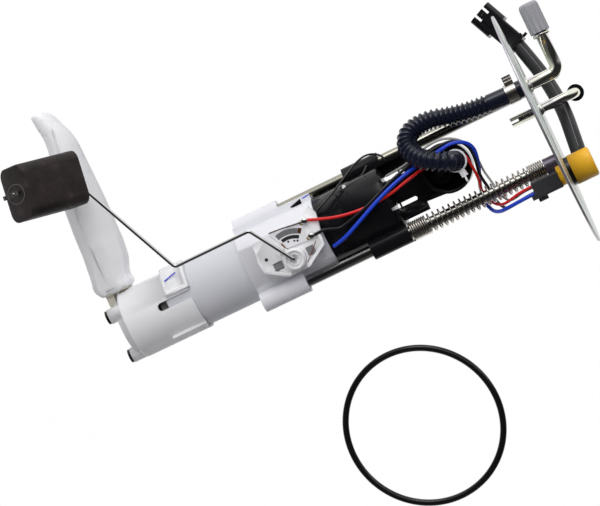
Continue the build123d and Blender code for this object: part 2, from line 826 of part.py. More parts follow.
def pump_outlet_cap():
    inner = pump_dia - 2 * pump_wall - 2 * still_gap
    low = pump_top_z - cap_height
    cap = post(inner, low, pump_top_z, carriage_x)
    cap += post(nipple_dia, pump_top_z - 1, nipple_top_z, carriage_x)
    cap -= post(shaft_dia + 2 * run_gap, low - 1, low + 4, carriage_x)
    cap -= post(nipple_bore, low + 4.5, nipple_top_z + 1, carriage_x)
    cap += ring(nipple_bore + 0.2, 2.4, low + 6.0, low + 8.0, carriage_x)
    return cap


def check_valve():
    seat = pump_top_z - cap_height + 8.0 + 0.1
    stem = post(2.0, seat - 3.0, seat, carriage_x)
    head = post(poppet_dia, seat, seat + 3.0, carriage_x)
    return stem + head


def pump_impeller_housing():
    inner = pump_dia - 2 * pump_wall - 2 * still_gap
    low = pump_bottom_z + cover_thk
    body = post(inner, low, low + housing_thk, carriage_x)
    body -= post(impeller_dia + 0.6, low - 1, low + impeller_thk + 2 * impeller_side_gap, carriage_x)
    return body - post(shaft_dia + 2 * run_gap, low - 1, low + housing_thk + 1, carriage_x)


def pump_inlet_cover():
    inner = pump_dia - 2 * pump_wall - 2 * still_gap
    body = post(inner, pump_bottom_z, pump_bottom_z + cover_thk, carriage_x)
    body += post(pump_dia - 2, pump_bottom_z - 3, pump_bottom_z, carriage_x)
    body += post(inlet_dia + 4, cup_bottom_z + cup_base_thk, pump_bottom_z - 2, carriage_x)
    body -= post(shaft_dia + 2 * run_gap, pump_bottom_z + 2.5, pump_bottom_z + cover_thk + 1, carriage_x)
    inlet = post(5.0, cup_bottom_z, pump_bottom_z + cover_thk + 1, carriage_x + 9.0)
    side = at(carriage_x - 6, 0, neck_port_z + 2.6) * Rotation(0, 90, 0) * Cylinder(2.2, 14)
    return body - inlet - side


def pump_impeller():
    low = pump_bottom_z + cover_thk + impeller_side_gap
    disc = post(impeller_dia, low, low + impeller_thk, carriage_x)
    for k in range(impeller_blades):
        turn = 360 / impeller_blades * k
        place = at(carriage_x, 0, low + impeller_thk / 2) * Rotation(0, 0, turn)
        disc -= place * at(impeller_dia / 2, 0, 0) * Box(4.0, 2.0, impeller_thk + 1)
    return disc - post(shaft_dia, low - 1, low + impeller_thk + 1, carriage_x)


def pump_armature():
    low, high = armature_z
    core = post(armature_dia, low, high, carriage_x)
    for k in range(armature_slots):
        turn = 360 / armature_slots * k
        slot = at(carriage_x, 0, (low + high) / 2) * Rotation(0, 0, turn)
        core -= slot * at(armature_dia / 2 - 1.5, 0, 0) * Box(5.0, 1.6, high - low + 1)
    commutator = post(commutator_dia, *commutator_z, carriage_x)
    shaft_low = pump_bottom_z + 3.0
    shaft_high = pump_top_z - cap_height + 3.6
    return core + commutator + post(shaft_dia, shaft_low, shaft_high, carriage_x)


def pump_magnets():
    outer = pump_dia - 2 * pump_wall - 2 * still_gap
    low, high = armature_z
    tube = ring(outer, outer - 2 * magnet_thk, low - 2, high + 2, carriage_x)
    arcs = []
    for side in (1, -1):
        gap = (180 - magnet_arc) / 2
        reach = outer
        wedge = Polyline((0, 0), (reach * cos(radians(gap)), side * reach * sin(radians(gap))),
                         (reach, side * 2 * reach), (-reach, side * 2 * reach),
                         (-reach * cos(radians(gap)), side * reach * sin(radians(gap))), close=True)
        piece = at(carriage_x, 0, low - 3) * extrude(make_face(wedge), amount=high - low + 6, dir=(0, 0, 1))
        arcs.append(tube & piece)
    return Compound([solid for arc in arcs for solid in arc.solids()])


def carbon_brushes():
    z = sum(commutator_z) / 2
    blocks = []
    for side in (1, -1):
        middle = carriage_x + side * (commutator_dia / 2 + 0.1 + brush_size[0] / 2)
        blocks.append(at(middle, 0, z) * Box(*brush_size))
    return Compound(blocks)


# Reservoir


def reservoir():
    inner = reservoir_dia - 2 * reservoir_wall
    tube = ring(reservoir_dia, inner, reservoir_bottom_z, cover_bottom_z - still_gap, carriage_x)
    low = cup_top_z - finger_slot_length
    window = block((inner / 2 - 2, reservoir_dia / 2 + 2), around(0, finger_slot_width),
                   (low, low + window_height))
    window = fillet(window.edges().filter_by(Axis.X).group_by(Axis.Z)[0], finger_slot_width / 2.2)
    tube -= at(carriage_x, 0, 0) * Rotation(0, 0, window_turn) * window
    return tube - inlet_port_hole()


def inlet_port_hole():
    """Way in for the strainer's spigot, through the cup's and the tube's wall."""
    place = at(carriage_x - reservoir_dia / 2, 0, neck_port_z) * Rotation(0, 90, 0)
    return place * Cylinder(neck_port_dia / 2 + still_gap, 10)


def feet_spots():
    return [at_turn(foot_turn + 120 * k, foot_circle) for k in range(3)]


def sector(turn_a, turn_b, r_in, r_out, z_low, z_high):
    """Arc-shaped block round the carriage axis."""
    arc_out = ThreePointArc(*[(r_out * cos(radians(t)), r_out * sin(radians(t)))
                              for t in (turn_a, (turn_a + turn_b) / 2, turn_b)])
    arc_in = ThreePointArc(*[(r_in * cos(radians(t)), r_in * sin(radians(t)))
                             for t in (turn_b, (turn_a + turn_b) / 2, turn_a)])
    joins = [Line(arc_out @ 1, arc_in @ 0), Line(arc_in @ 1, arc_out @ 0)]
    face = make_face([arc_out, joins[0], arc_in, joins[1]])
    return at(carriage_x, 0, z_low) * extrude(face, amount=z_high - z_low, dir=(0, 0, 1))


def reservoir_cup():
    outer = cup_shell_dia / 2
    inner = reservoir_dia / 2 + still_gap
    body = post(cup_shell_dia, cup_bottom_z, cup_top_z, carriage_x)
    body = fillet(body.edges().group_by(Axis.Z)[0], 1.2)
    low, high = cup_top_z + pad_span[0], cup_top_z + pad_span[1]
    body += sector(*pad_turns, inner + 0.5, outer + pad_rise, low, high)
    inset = degrees(pad_frame / (outer + pad_rise))
    body -= sector(pad_turns[0] - inset, pad_turns[1] + inset, outer + pad_rise - pad_recess, outer + pad_rise + 1,
                   low + pad_frame, high - pad_frame)
    half = degrees(lug_width / 2 / outer)
    body += sector(lug_turn - half, lug_turn + half, inner + 0.5, outer + lug_rise,
                   cup_top_z - lug_length, cup_top_z)
    body -= post(2 * inner, reservoir_bottom_z, cup_top_z + 5, carriage_x)
    body -= post(2 * (inner - reservoir_wall), cup_bottom_z + cup_base_thk, cup_top_z, carriage_x)
    for turn in finger_slot_turns:
        low = cup_top_z - finger_slot_length
        place = at(carriage_x, 0, 0) * Rotation(0, 0, turn)
        slot = block((outer - 4, outer + 6), around(0, finger_slot_width), (low, cup_top_z + 5))
        slot = fillet(slot.edges().filter_by(Axis.X).group_by(Axis.Z)[0], finger_slot_width / 2.2)
        body -= place * slot
    body += ring(base_ring_dia, base_ring_dia - 4, cup_bottom_z - base_ring_height, cup_bottom_z + 1, carriage_x)
    for x, y in feet_spots():
        body += post(foot_dia, foot_end_z, cup_bottom_z + 1, x, y)
    lip_x, lip_y, lip_z = neck_lip
    body -= block((neck_box[0][0], lip_x[1] + air_gap), (lip_y[0] - 0.3, lip_y[1] + 0.3),
                  (lip_z[0] - 1, cup_bottom_z - 0.01))
    return body - inlet_port_hole()


def foot_pads():
    return Compound([post(foot_dia - 0.8, foot_end_z - pad_thk, foot_end_z, x, y) for x, y in feet_spots()])


def strainer_neck():
    body = block(*neck_box)
    body = fillet(body.edges().filter_by(Axis.X), 2.0)
    body += block(*neck_lip)
    wall = cup_shell_dia / 2 + still_gap
    body -= post(2 * wall, cup_bottom_z, neck_box[2][1] + 5, carriage_x)
    body += at(carriage_x - cup_shell_dia / 2 + 0.5, 0, neck_port_z) * Rotation(0, 90, 0) * Cylinder(
        neck_port_dia / 2, 7)
    for x, y in feet_spots():
        body -= post(foot_dia + 0.6, foot_end_z - 3, cup_bottom_z + 1, x, y)
    return body


def strainer_sock():
    top = Spline(*[(x, cup_bottom_z + z) for x, z in sock_top])
    low = Spline(*[(x, cup_bottom_z + z) for x, z in sock_bottom])
    face = make_face([top, Line(top @ 1, low @ 0), low, Line(low @ 1, top @ 0)])
    bag = extrude(Plane.XZ * face, amount=sock_y[1] - sock_y[0], dir=(0, -1, 0))
    return at(0, sock_y[1], 0) * bag


# Sender


def sender_collar():
    outer = shell_dia / 2
    body = post(2 * outer, *collar_z, carriage_x)
    body += block(ear_x, ear_y, collar_z)
    body += block(sender_pad_x, (sender_pad_y, sender_pad_y + sender_pad_root), sender_pad_z)
    for spot in (front_rod, rear_rod):
        body += post(collar_sleeve_dia, collar_z[0], collar_sleeve_top_z, *spot)
    body -= post(reservoir_dia + 2 * still_gap, collar_z[0] - 1, collar_z[1] + 1, carriage_x)
    body -= rod_bores(collar_z[0] - 1, collar_z[1] + 1)
    for spot in (front_rod, rear_rod):
        body -= post(retainer_dia + 2 * air_gap, collar_z[0] - 1, shoulder_stop_z, *spot)
        body -= post(rod_dia + 2 * air_gap, collar_sleeve_top_z, collar_z[1] + 1, *spot)
    corner = [(notch_x[0], notch_z[1]), (notch_x[1], notch_z[1]), (notch_x[1], notch_z[0])]
    return body - upright_outline(corner, ear_y[0] - 1, ear_y[1] + 1)


def sender_base():
    y_high = sender_pad_y
    y_low = y_high - frame_thk
    plate = upright_outline(from_pivot(frame_outline), y_low, y_high)
    x, z = pivot_at
    for dx, dz, w, h in frame_windows:
        plate -= block(around(x + dx, w), (y_low - 1, y_high + 1), around(z + dz, h))
    for line in rim_lines:
        plate += raised_rim(from_pivot(line), y_low)
    return plate + rod_between((x, y_low, z), (x, y_low - pivot_reach, z), pivot_dia)


def raised_rim(points, y_face):
    """Low wall along a line of points, standing out from a face."""
    low, high = y_face - rim_height, y_face + 0.2
    rim = None
    for (xa, za), (xb, zb) in zip(points, points[1:]):
        run, turn = ((xb - xa) ** 2 + (zb - za) ** 2) ** 0.5, degrees(atan2(zb - za, xb - xa))
        bar = at((xa + xb) / 2, (low + high) / 2, (za + zb) / 2) * Rotation(0, -turn, 0) * Box(
            run, high - low, rim_width)
        rim = bar if rim is None else rim + bar
    for x, z in points:
        rim += rod_between((x, low, z), (x, high, z), rim_width)
    return rim


def resistor_card():
    face = sender_pad_y - frame_thk
    return upright_outline(from_pivot(card_outline), face - card_thk, face)


def sender_terminals():
    face = sender_pad_y - frame_thk
    domes = []
    for x, z in from_pivot(terminals_at):
        dome = at(x, face - 0.6, z) * Rotation(90, 0, 0) * Cylinder(terminal_dia / 2, 1.2)
        domes.append(chamfer(dome.edges().group_by(Axis.Y)[0], 0.5))
    return Compound(domes)


def sender_rotor():
    x, z = pivot_at
    low, high = rotor_y
    hub = at(x, (low + high) / 2, z) * Rotation(90, 0, 0) * Cylinder(rotor_dia / 2, high - low)
    hub = fillet(hub.edges().group_by(Axis.Y)[0], 0.8)
    knee = Vector(arm_knee[0], 0, arm_knee[1]) - Vector(x, 0, z)
    turn = degrees(atan2(knee.Z, knee.X))
    arm = at(x, low + 1.2, z) * Rotation(0, -turn, 0) * at(rotor_arm[0] / 2, 0, 0) * Box(
        rotor_arm[0], rotor_arm[2], rotor_arm[1])
    jaw_y = low + 1.2 + rotor_arm[2] / 2 - rotor_jaw[1] / 2
    jaw = at(x, jaw_y, z) * Rotation(0, -turn, 0) * at(rotor_jaw_at, 0, 0) * Box(*rotor_jaw)
    wide, narrow, rise = rotor_ring
    face_ring = Rotation(90, 0, 0) * (Cylinder(wide / 2, rise + 0.2) - Cylinder(narrow / 2, rise + 1))
    body = hub + arm + jaw + at(x, low - rise / 2 + 0.1, z) * face_ring
    pin_end = sender_pad_y - frame_thk - pivot_reach - air_gap
    body -= rod_between((x, high + 1, z), (x, pin_end, z), pivot_dia + 2 * run_gap)
    socket = at(x, low, z) * Rotation(90, 0, 0) * Cylinder(arm_dia / 2 + still_gap, 2 * arm_insert)
    groove = rod_between((x, arm_y, z), (arm_knee[0], arm_y, arm_knee[1]), arm_dia + 2 * still_gap)
    return body - socket - groove


def wiper_contact():
    """Sprung leaf that sweeps the resistor track, standing out from the rotor's rim."""
    x, z = pivot_at
    w, thk, run = wiper_size
    reach = rotor_dia / 2 + 0.1 + run / 2
    y = sender_pad_y - frame_thk - card_thk - wiper_gap - thk / 2
    return at(x, y, z) * Rotation(0, wiper_turn, 0) * at(0, 0, reach) * Box(w, thk, run)


def arm_path():
    x, z = pivot_at
    axis = Vector(*float_axis).normalized()
    end = Vector(arm_end[0], arm_y, arm_end[1])
    return FilletPolyline((x, rotor_y[0] + arm_insert, z), (x, arm_y, z), (arm_knee[0], arm_y, arm_knee[1]),
                          (arm_low[0], arm_y, arm_low[1]), end, end + axis * arm_tip,
                          radius=[1.6, arm_bend, arm_bend, arm_bend])


def float_arm_wire():
    return pipe(arm_path(), arm_dia)


def float_plane():
    axis = Vector(*float_axis).normalized()
    end = Vector(arm_end[0], arm_y, arm_end[1])
    return Plane(origin=end + axis * float_from, x_dir=(1, 0, axis.X), z_dir=axis)


def float_block():
    w, thk, length = float_size
    body = at(0, 0, length / 2) * Box(w, thk, length)
    body = fillet(body.edges().filter_by(Axis.Z), float_round)
    body -= at(0, 0, length / 2) * Cylinder(arm_dia / 2 + run_gap, length + 2)
    return float_plane() * body


def float_clip():
    length = float_size[2]
    disc = Cylinder(clip_dia / 2, clip_thk) - Cylinder(arm_dia / 2 + still_gap, clip_thk + 1)
    return float_plane() * (at(0, 0, length + 0.3 + clip_thk / 2) * disc)


hose_path = route_path(hose_route, "outlet hose")

nodes = {
    "flange_plate": flange_plate(),
    "supply_tube": supply_tube(),
    "return_tube": return_tube(),
    "supply_tube_cap": supply_tube_cap(),
    "return_tube_cap": return_tube_cap(),
    "guide_rod_front": guide_rod(*front_rod),
    "guide_rod_rear": guide_rod(*rear_rod),
    "rod_spacer": rod_spacer(),
    "rod_retainers": rod_retainers(),
    "coil_spring": coil_spring(),
    "pass_through": pass_through(),
    "pass_through_gasket": pass_through_gasket(),
    "harness_plug": harness_plug(),
    "lead_sheath": lead_sheath(),
    "lead_connector": lead_connector(),
    "connector_lock": connector_lock(),
    "connector_terminals": connector_terminals(),
    "tank_seal_ring": tank_seal_ring(),
    "outlet_hose": checked_pipe(hose_path, hose_dia, "outlet hose", hose_bore),
    "hose_clamp": hose_clamp(),
    "cable_tie": cable_tie(hose_path),
    "pump_bracket": pump_bracket(),
    "pressure_regulator": regulator(),
    "outlet_port": outlet_port(),
    "pump_shell": pump_shell(),
    "pump_outlet_cap": pump_outlet_cap(),
    "check_valve": check_valve(),
    "pump_impeller_housing": pump_impeller_housing(),
    "pump_inlet_cover": pump_inlet_cover(),
    "pump_impeller": pump_impeller(),
    "pump_armature": pump_armature(),
    "pump_magnets": pump_magnets(),
    "carbon_brushes": carbon_brushes(),
    "reservoir": reservoir(),
    "reservoir_cup": reservoir_cup(),
    "foot_pads": foot_pads(),
    "strainer_neck": strainer_neck(),
    "strainer_sock": strainer_sock(),
    "sender_collar": sender_collar(),
    "sender_base": sender_base(),
    "resistor_card": resistor_card(),
    "sender_terminals": sender_terminals(),
    "sender_rotor": sender_rotor(),
    "wiper_contact": wiper_contact(),
    "float_arm_wire": float_arm_wire(),
    "float": float_block(),
    "float_clip": float_clip(),
}
for colour, route in wire_route.items():
    name = f"wire_{colour}"
    nodes[name] = checked_pipe(route_path(route, name), wire_dia[colour], name)

os.makedirs("parts", exist_ok=True)
for name, shape in nodes.items():
    export_step(shape, f"parts/{name}.step")
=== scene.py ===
from math import atan2, cos, pi, radians, sin

import bmesh
import bpy
from mathutils import Matrix, Vector


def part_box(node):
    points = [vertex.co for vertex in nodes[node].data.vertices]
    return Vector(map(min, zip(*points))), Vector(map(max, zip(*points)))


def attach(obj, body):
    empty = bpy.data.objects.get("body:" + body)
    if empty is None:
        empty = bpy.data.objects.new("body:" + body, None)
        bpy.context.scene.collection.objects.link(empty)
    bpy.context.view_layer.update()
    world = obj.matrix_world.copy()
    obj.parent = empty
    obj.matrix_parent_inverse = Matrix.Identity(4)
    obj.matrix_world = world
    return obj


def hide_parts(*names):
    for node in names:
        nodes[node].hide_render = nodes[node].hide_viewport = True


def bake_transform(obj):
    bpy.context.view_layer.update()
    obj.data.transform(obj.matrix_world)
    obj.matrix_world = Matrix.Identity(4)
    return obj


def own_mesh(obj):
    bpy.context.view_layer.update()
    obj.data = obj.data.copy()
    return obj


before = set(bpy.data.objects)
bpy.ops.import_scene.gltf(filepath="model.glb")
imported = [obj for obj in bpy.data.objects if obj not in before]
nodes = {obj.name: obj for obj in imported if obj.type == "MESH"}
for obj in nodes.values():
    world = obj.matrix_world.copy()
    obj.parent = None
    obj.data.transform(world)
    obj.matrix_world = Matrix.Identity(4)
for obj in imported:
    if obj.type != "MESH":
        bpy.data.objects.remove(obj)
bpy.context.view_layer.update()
mm = 0.001

# The studio. The module is photographed from the front and a little above, with its rods sloping up to
# the right, on pure white.

view_point = Vector((3.7, -1500.0, 39.0)) * mm
view_aim = Vector((3.7, 0.0, -172.6)) * mm
view_roll = radians(25.6)
forward = (view_aim - view_point).normalized()
level = Vector((1, 0, 0))
upright = level.cross(forward)
picture_right = sin(view_roll) * level + cos(view_roll) * upright
picture_up = sin(view_roll) * upright - cos(view_roll) * level


def show(name, data):
    """Put an object with this data into the scene."""
    shown = bpy.data.objects.new(name, data)
    bpy.context.scene.collection.objects.link(shown)
    return shown


def stand(x_way, y_way, z_way):
    """The turn that lays the three axes along three ways."""
    return Matrix((x_way, y_way, z_way)).transposed().to_4x4()


photo_lens = bpy.data.cameras.new("photo_camera")
photo_lens.lens = 143.5
photo_lens.sensor_width = 36.0
camera = show("photo_camera", photo_lens)
camera.matrix_world = Matrix.Translation(view_point) @ stand(picture_right, picture_up, -forward)
bpy.context.scene.camera = camera
bpy.context.scene.view_settings.view_transform = "Standard"


class Socket:
    """A value in a material; arithmetic on it adds the Math nodes."""

    def __init__(self, tree, link):
        self.tree = tree
        self.link = link

    def maths(self, operation, *values):
        node = self.tree.nodes.new("ShaderNodeMath")
        node.operation = operation
        for entry, value in zip(node.inputs, values):
            join(self.tree, entry, value)
        return Socket(self.tree, node.outputs[0])

    def __add__(self, other):
        return self.maths("ADD", self, other)

    def __mul__(self, other):
        return self.maths("MULTIPLY", self, other)

    def __gt__(self, other):
        return self.maths("GREATER_THAN", self, other)

    __radd__ = __add__
    __rmul__ = __mul__


def join(tree, entry, value):
    """Feed an input from a socket or with a plain value."""
    if isinstance(value, Socket):
        tree.links.new(value.link, entry)
    elif entry.type == "RGBA" and len(value) == 3:
        entry.default_value = (*value, 1.0)
    else:
        entry.default_value = value


class Nodes:
    """The nodes of a material or of the world, and the coordinates that they read."""

    def __init__(self, tree, coordinates):
        self.tree = tree
        self.place = self.node("TexCoord", coordinates)

    def node(self, kind, output=0, inputs=None, stops=(), **settings):
        """Add a node with its settings, ramp stops and inputs, and give one of its outputs."""
        node = self.tree.nodes.new("ShaderNode" + kind)
        for key, value in settings.items():
            setattr(node, key, value)
        for spot, colour in stops:
            stop = node.color_ramp.elements.new(spot)
            stop.color = (*colour, 1.0)
        if stops:
            node.color_ramp.elements.remove(node.color_ramp.elements[0])
            node.color_ramp.elements.remove(node.color_ramp.elements[-1])
        for key, value in (inputs or {}).items():
            join(self.tree, node.inputs[key], value)
        return Socket(self.tree, node.outputs[output])

    def blend(self, factor, low, high):
        return self.node("Mix", 2, {0: factor, 6: low, 7: high}, data_type="RGBA")

    def ramp(self, factor, *stops):
        return self.node("ValToRGB", 0, {0: factor}, stops)


class Finish(Nodes):
    """A material: a Principled surface and the nodes that feed it."""

    def __init__(self, name, colour, rough=0.5, metal=0.0, **fixed):
        self.material = bpy.data.materials.new(name)
        self.material.use_nodes = True
        super().__init__(self.material.node_tree, "Object")
        self.surface = self.tree.nodes["Principled BSDF"]
        plain = {"Base Color": colour, "Roughness": rough, "Metallic": metal}
        self.put({**plain, **{key.replace("_", " "): value for key, value in fixed.items()}})

    def put(self, values):
        for key, value in values.items():
            join(self.tree, self.surface.inputs[key], value)

    def axis(self, letter):
        return self.node("SeparateXYZ", letter, {0: self.place})

    def noise(self, scale, detail=3.0, stretch=(1, 1, 1)):
        """Cloudy noise; scale is in patches per metre."""
        place = self.node("Mapping", 0, {"Vector": self.place, "Scale": stretch})
        return self.node("TexNoise", "Fac", {"Vector": place, "Scale": scale, "Detail": detail})

    def bump(self, height, depth):
        self.put({"Normal": self.node("Bump", 0, {"Height": height, "Distance": depth, "Strength": 1.0})})


world = bpy.data.worlds.new("studio")
bpy.context.scene.world = world
world.use_nodes = True
world.node_tree.nodes.clear()
sky = Nodes(world.node_tree, "Generated")
towards_top = sky.node("VectorMath", "Value", {0: sky.place, 1: picture_up}, operation="DOT_PRODUCT")
towards_back = sky.node("VectorMath", "Value", {0: sky.place, 1: forward}, operation="DOT_PRODUCT")
soft_light = sky.ramp(
    towards_top * 0.5 + 0.5,
    (0.0, (0.02, 0.02, 0.02)),
    (0.30, (0.03, 0.03, 0.03)),
    (0.50, (0.14, 0.14, 0.15)),
    (0.74, (0.58, 0.58, 0.61)),
    (1.0, (0.62, 0.62, 0.64)),
)
mirrored_lamps = sky.ramp(
    towards_top * 0.5 + 0.5,
    (0.0, (0.16, 0.16, 0.16)),
    (0.16, (0.03, 0.03, 0.03)),
    (0.54, (0.02, 0.02, 0.02)),
    (0.64, (0.12, 0.12, 0.12)),
    (0.72, (0.40, 0.40, 0.40)),
    (0.80, (1.0, 1.0, 1.0)),
    (0.92, (1.0, 1.0, 1.0)),
    (1.0, (0.4, 0.4, 0.4)),
)
mirrored_backdrop = sky.ramp(towards_back * 0.5 + 0.5, (0.0, (0, 0, 0)), (0.62, (0, 0, 0)), (0.74, (1, 1, 1)))
mirrored = mirrored_lamps.maths("MAXIMUM", mirrored_lamps, mirrored_backdrop)
lit_or_mirrored = sky.blend(sky.node("LightPath", "Is Glossy Ray"), soft_light, mirrored)
sky_colour = sky.blend(sky.node("LightPath", "Is Camera Ray"), lit_or_mirrored, (1.0, 1.0, 1.0))
sky_shell = sky.node("Background", 0, {"Color": sky_colour, "Strength": 1.0})
join(sky.tree, sky.tree.nodes.new("ShaderNodeOutputWorld").inputs["Surface"], sky_shell)

for lamp_name, lamp_from, lamp_size, lamp_power in (
    ("key", picture_up * 1.0 - forward * 0.6 - picture_right * 0.3, 0.6, 2.6),
    ("fill", -forward * 1.0 - picture_right * 0.2 + picture_up * 0.45, 0.8, 4.2),
):
    lamp = bpy.data.lights.new(lamp_name, "AREA")
    lamp.shape = "SQUARE"
    lamp.size = lamp_size
    lamp.energy = lamp_power
    holder = show(lamp_name, lamp)
    holder.location = view_aim + lamp_from
    holder.rotation_mode = "QUATERNION"
    holder.rotation_quaternion = (-lamp_from).to_track_quat("-Z", "Y")
    holder.visible_glossy = lamp_name == "key"

floor_depth, floor_size = 0.36, 3.0
floor_form = bmesh.new()
bmesh.ops.create_grid(floor_form, x_segments=1, y_segments=1, size=floor_size,
                      matrix=Matrix.Translation((0, 0, -floor_depth)))
floor_mesh = bpy.data.meshes.new("floor")
floor_form.to_mesh(floor_mesh)
floor_form.free()
floor_paint = Finish("floor_paint", (0.80, 0.80, 0.80), 0.7)
floor_lit = Socket(floor_paint.tree, floor_paint.surface.outputs[0])
floor_glow = floor_paint.node("Emission", 0, {"Color": (1, 1, 1), "Strength": 1.015})
glow_share = floor_paint.node("LightPath", "Is Camera Ray") * 0.97
floor_seen = floor_paint.node("MixShader", 0, {0: glow_share, 1: floor_lit, 2: floor_glow})
floor_clear = floor_paint.node("BsdfTransparent")
in_mirrors = floor_paint.node("LightPath", "Is Glossy Ray")
floor_shell = floor_paint.node("MixShader", 0, {0: in_mirrors, 1: floor_seen, 2: floor_clear})
join(floor_paint.tree, floor_paint.tree.nodes["Material Output"].inputs["Surface"], floor_shell)
floor_mesh.materials.append(floor_paint.material)
show("floor", floor_mesh)

# The flange plate: a stamped steel disc with a raised middle and a rounded edge. It is zinc plated and
# passivated, so that its grey has a thin play of green, pink and violet. Its rounded rim is coloured in bands by
# height, and the paler band across the rim's middle is a painted highlight.

flange_profile = [(0, 1.0), (57.0, 1.0), (59.0, 0), (77.0, 0), (77.35, 0.15), (77.5, 0.5), (77.5, 1.1), (77.35, 1.45),
                  (77.0, 1.6), (59.0, 1.6), (57.0, 2.6), (0, 2.6)]
edge_top = 1.55 * mm
edge_shades_per_metre = 600.0


def turned_form(profile, steps, close=False):
    """Turn a profile of (radius, height) points in millimetres about the Z axis."""
    form = bmesh.new()
    spots = [form.verts.new((radius * mm, 0, height * mm)) for radius, height in profile]
    pairs = list(zip(spots, spots[1:])) + ([(spots[-1], spots[0])] if close else [])
    edges = [form.edges.new(pair) for pair in pairs]
    bmesh.ops.spin(form, geom=spots + edges, axis=(0, 0, 1), cent=(0, 0, 0), steps=steps, angle=2 * pi,
                   use_merge=True)
    return form


def put_in_order(elements, middle):
    """Sort points or faces by where they are, because the operators leave them in another order each run."""
    in_order = sorted(elements, key=lambda element: [round(value, 7) for value in middle(element)])
    for index, element in enumerate(in_order):
        element.index = index
    elements.sort()


def to_mesh(form, name, sharp=40.0, turn_out=True):
    """Close a bmesh into a smooth-shaded mesh whose edges over the sharp angle stay sharp."""
    bmesh.ops.remove_doubles(form, verts=form.verts, dist=1e-6)
    if turn_out:
        bmesh.ops.recalc_face_normals(form, faces=form.faces)
    put_in_order(form.verts, lambda vertex: vertex.co)
    put_in_order(form.faces, lambda face: face.calc_center_median())
    mesh = bpy.data.meshes.new(name)
    form.to_mesh(mesh)
    form.free()
    mesh.shade_smooth()
    mesh.set_sharp_from_angle(angle=radians(sharp))
    return mesh


def add_piece(name, mesh, finish, body, slot_name, *replaced):
    """Show a finished mesh as a piece that rides on a body."""
    mesh.materials.clear()
    mesh.materials.append(finish.material)
    shown = show(name, mesh)
    if body:
        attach(shown, body)
    if replaced:
        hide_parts(*replaced)
    return shown


zinc = Finish("zinc_plate", (0.6, 0.6, 0.58), 0.32, 0.75)
zinc_top = zinc.ramp(
    zinc.noise(26.0, 2.0),
    (0.30, (0.56, 0.64, 0.62)),
    (0.45, (0.64, 0.68, 0.65)),
    (0.60, (0.66, 0.69, 0.63)),
    (0.72, (0.60, 0.67, 0.68)),
)
zinc_height = zinc.axis("Z")
# The rim's bands by height: a pinkish foot and a grey-green top in the plating's tints, and a paler middle that is a
# painted highlight.
zinc_edge = zinc.ramp(
    zinc_height * edge_shades_per_metre,
    (0.0, (0.40, 0.32, 0.42)),
    (0.22, (0.52, 0.46, 0.55)),
    (0.45, (0.56, 0.56, 0.58)),
    (0.80, (0.40, 0.42, 0.42)),
)
zinc.put({
    "Base Color": zinc.blend(zinc_height > edge_top, zinc_edge, zinc_top),
    "Roughness": 0.25 + 0.15 * zinc.noise(300.0, 4.0),
})
add_piece("flange_disc", to_mesh(turned_form(flange_profile, 180), "flange_disc", 30.0), zinc, "flange",
          "zinc_steel", "flange_plate")

# The two fuel tubes: bent steel tube with a bright plating that shows yellow, pink and green at its edges. Each
# is brazed to the plate, and the brazing has left a whitish ring with a hollow slope.

plate_top = 2.6
braze_foot, braze_width, braze_height, braze_steps = plate_top - 0.2, 2.4, 2.6, 8


def merged_copy(piece_name, node_name, finish, body, slot_name):
    """Show a CAD node by a copy of its mesh whose triangles are joined, so that its curves shade smoothly."""
    form = bmesh.new()
    form.from_mesh(nodes[node_name].data)
    return add_piece(piece_name, to_mesh(form, piece_name, 32.0, False), finish, body, slot_name, node_name)


def mottled(name, low, high, patches, rough, metal=0.0, **fixed):
    """A finish whose colour wanders between two close shades, in so many patches to a metre."""
    finish = Finish(name, low, rough, metal, **fixed)
    finish.put({"Base Color": finish.blend(finish.noise(patches), low, high)})
    return finish


def place(form, spot, turn=Matrix()):
    """Turn a form, then move it to a spot in metres."""
    bmesh.ops.transform(form, verts=form.verts, matrix=Matrix.Translation(spot) @ turn)


tube_steel = Finish("plated_tube", (0.74, 0.74, 0.70), 0.1, 1.0)
tube_steel.put({"Base Color": tube_steel.ramp(
    tube_steel.noise(60.0, 2.0),
    (0.32, (0.80, 0.84, 0.74)),
    (0.46, (0.84, 0.80, 0.83)),
    (0.56, (0.86, 0.86, 0.70)),
    (0.70, (0.78, 0.84, 0.80)),
), "Roughness": 0.08 + 0.06 * tube_steel.noise(200.0)})
merged_copy("bent_supply_tube", "supply_tube", tube_steel, "flange", "plated_tube")
merged_copy("bent_return_tube", "return_tube", tube_steel, "flange", "plated_tube")

braze = mottled("brazing", (0.84, 0.86, 0.82), (0.62, 0.60, 0.58), 400.0, 0.45, 0.35)
braze.bump(braze.noise(900.0), 0.0001)
for braze_name, tube_foot, tube_dia in (("supply_brazing", (-29.0, -2.0, 0), 7.94),
                                        ("return_brazing", (-12.4, 1.0, 0), 6.35)):
    braze_inside = tube_dia / 2 - 0.3
    slope = []
    for step in range(braze_steps + 1):
        lean = step * pi / 2 / braze_steps
        slope.append((tube_dia / 2 + braze_width * (1 - sin(lean)), braze_foot + braze_height * (1 - cos(lean))))
    braze_form = turned_form([(braze_inside, braze_foot), *slope, (braze_inside, braze_foot + braze_height)], 40,
                             close=True)
    place(braze_form, Vector(tube_foot) * mm)
    add_piece(braze_name, to_mesh(braze_form, braze_name), braze, "flange", "zinc_steel")

# The supply tube's shipping cap: soft grey polyethylene, moulded with shallow flutes to grip it by. It is pushed
# on the tube's mouth and pulls off.

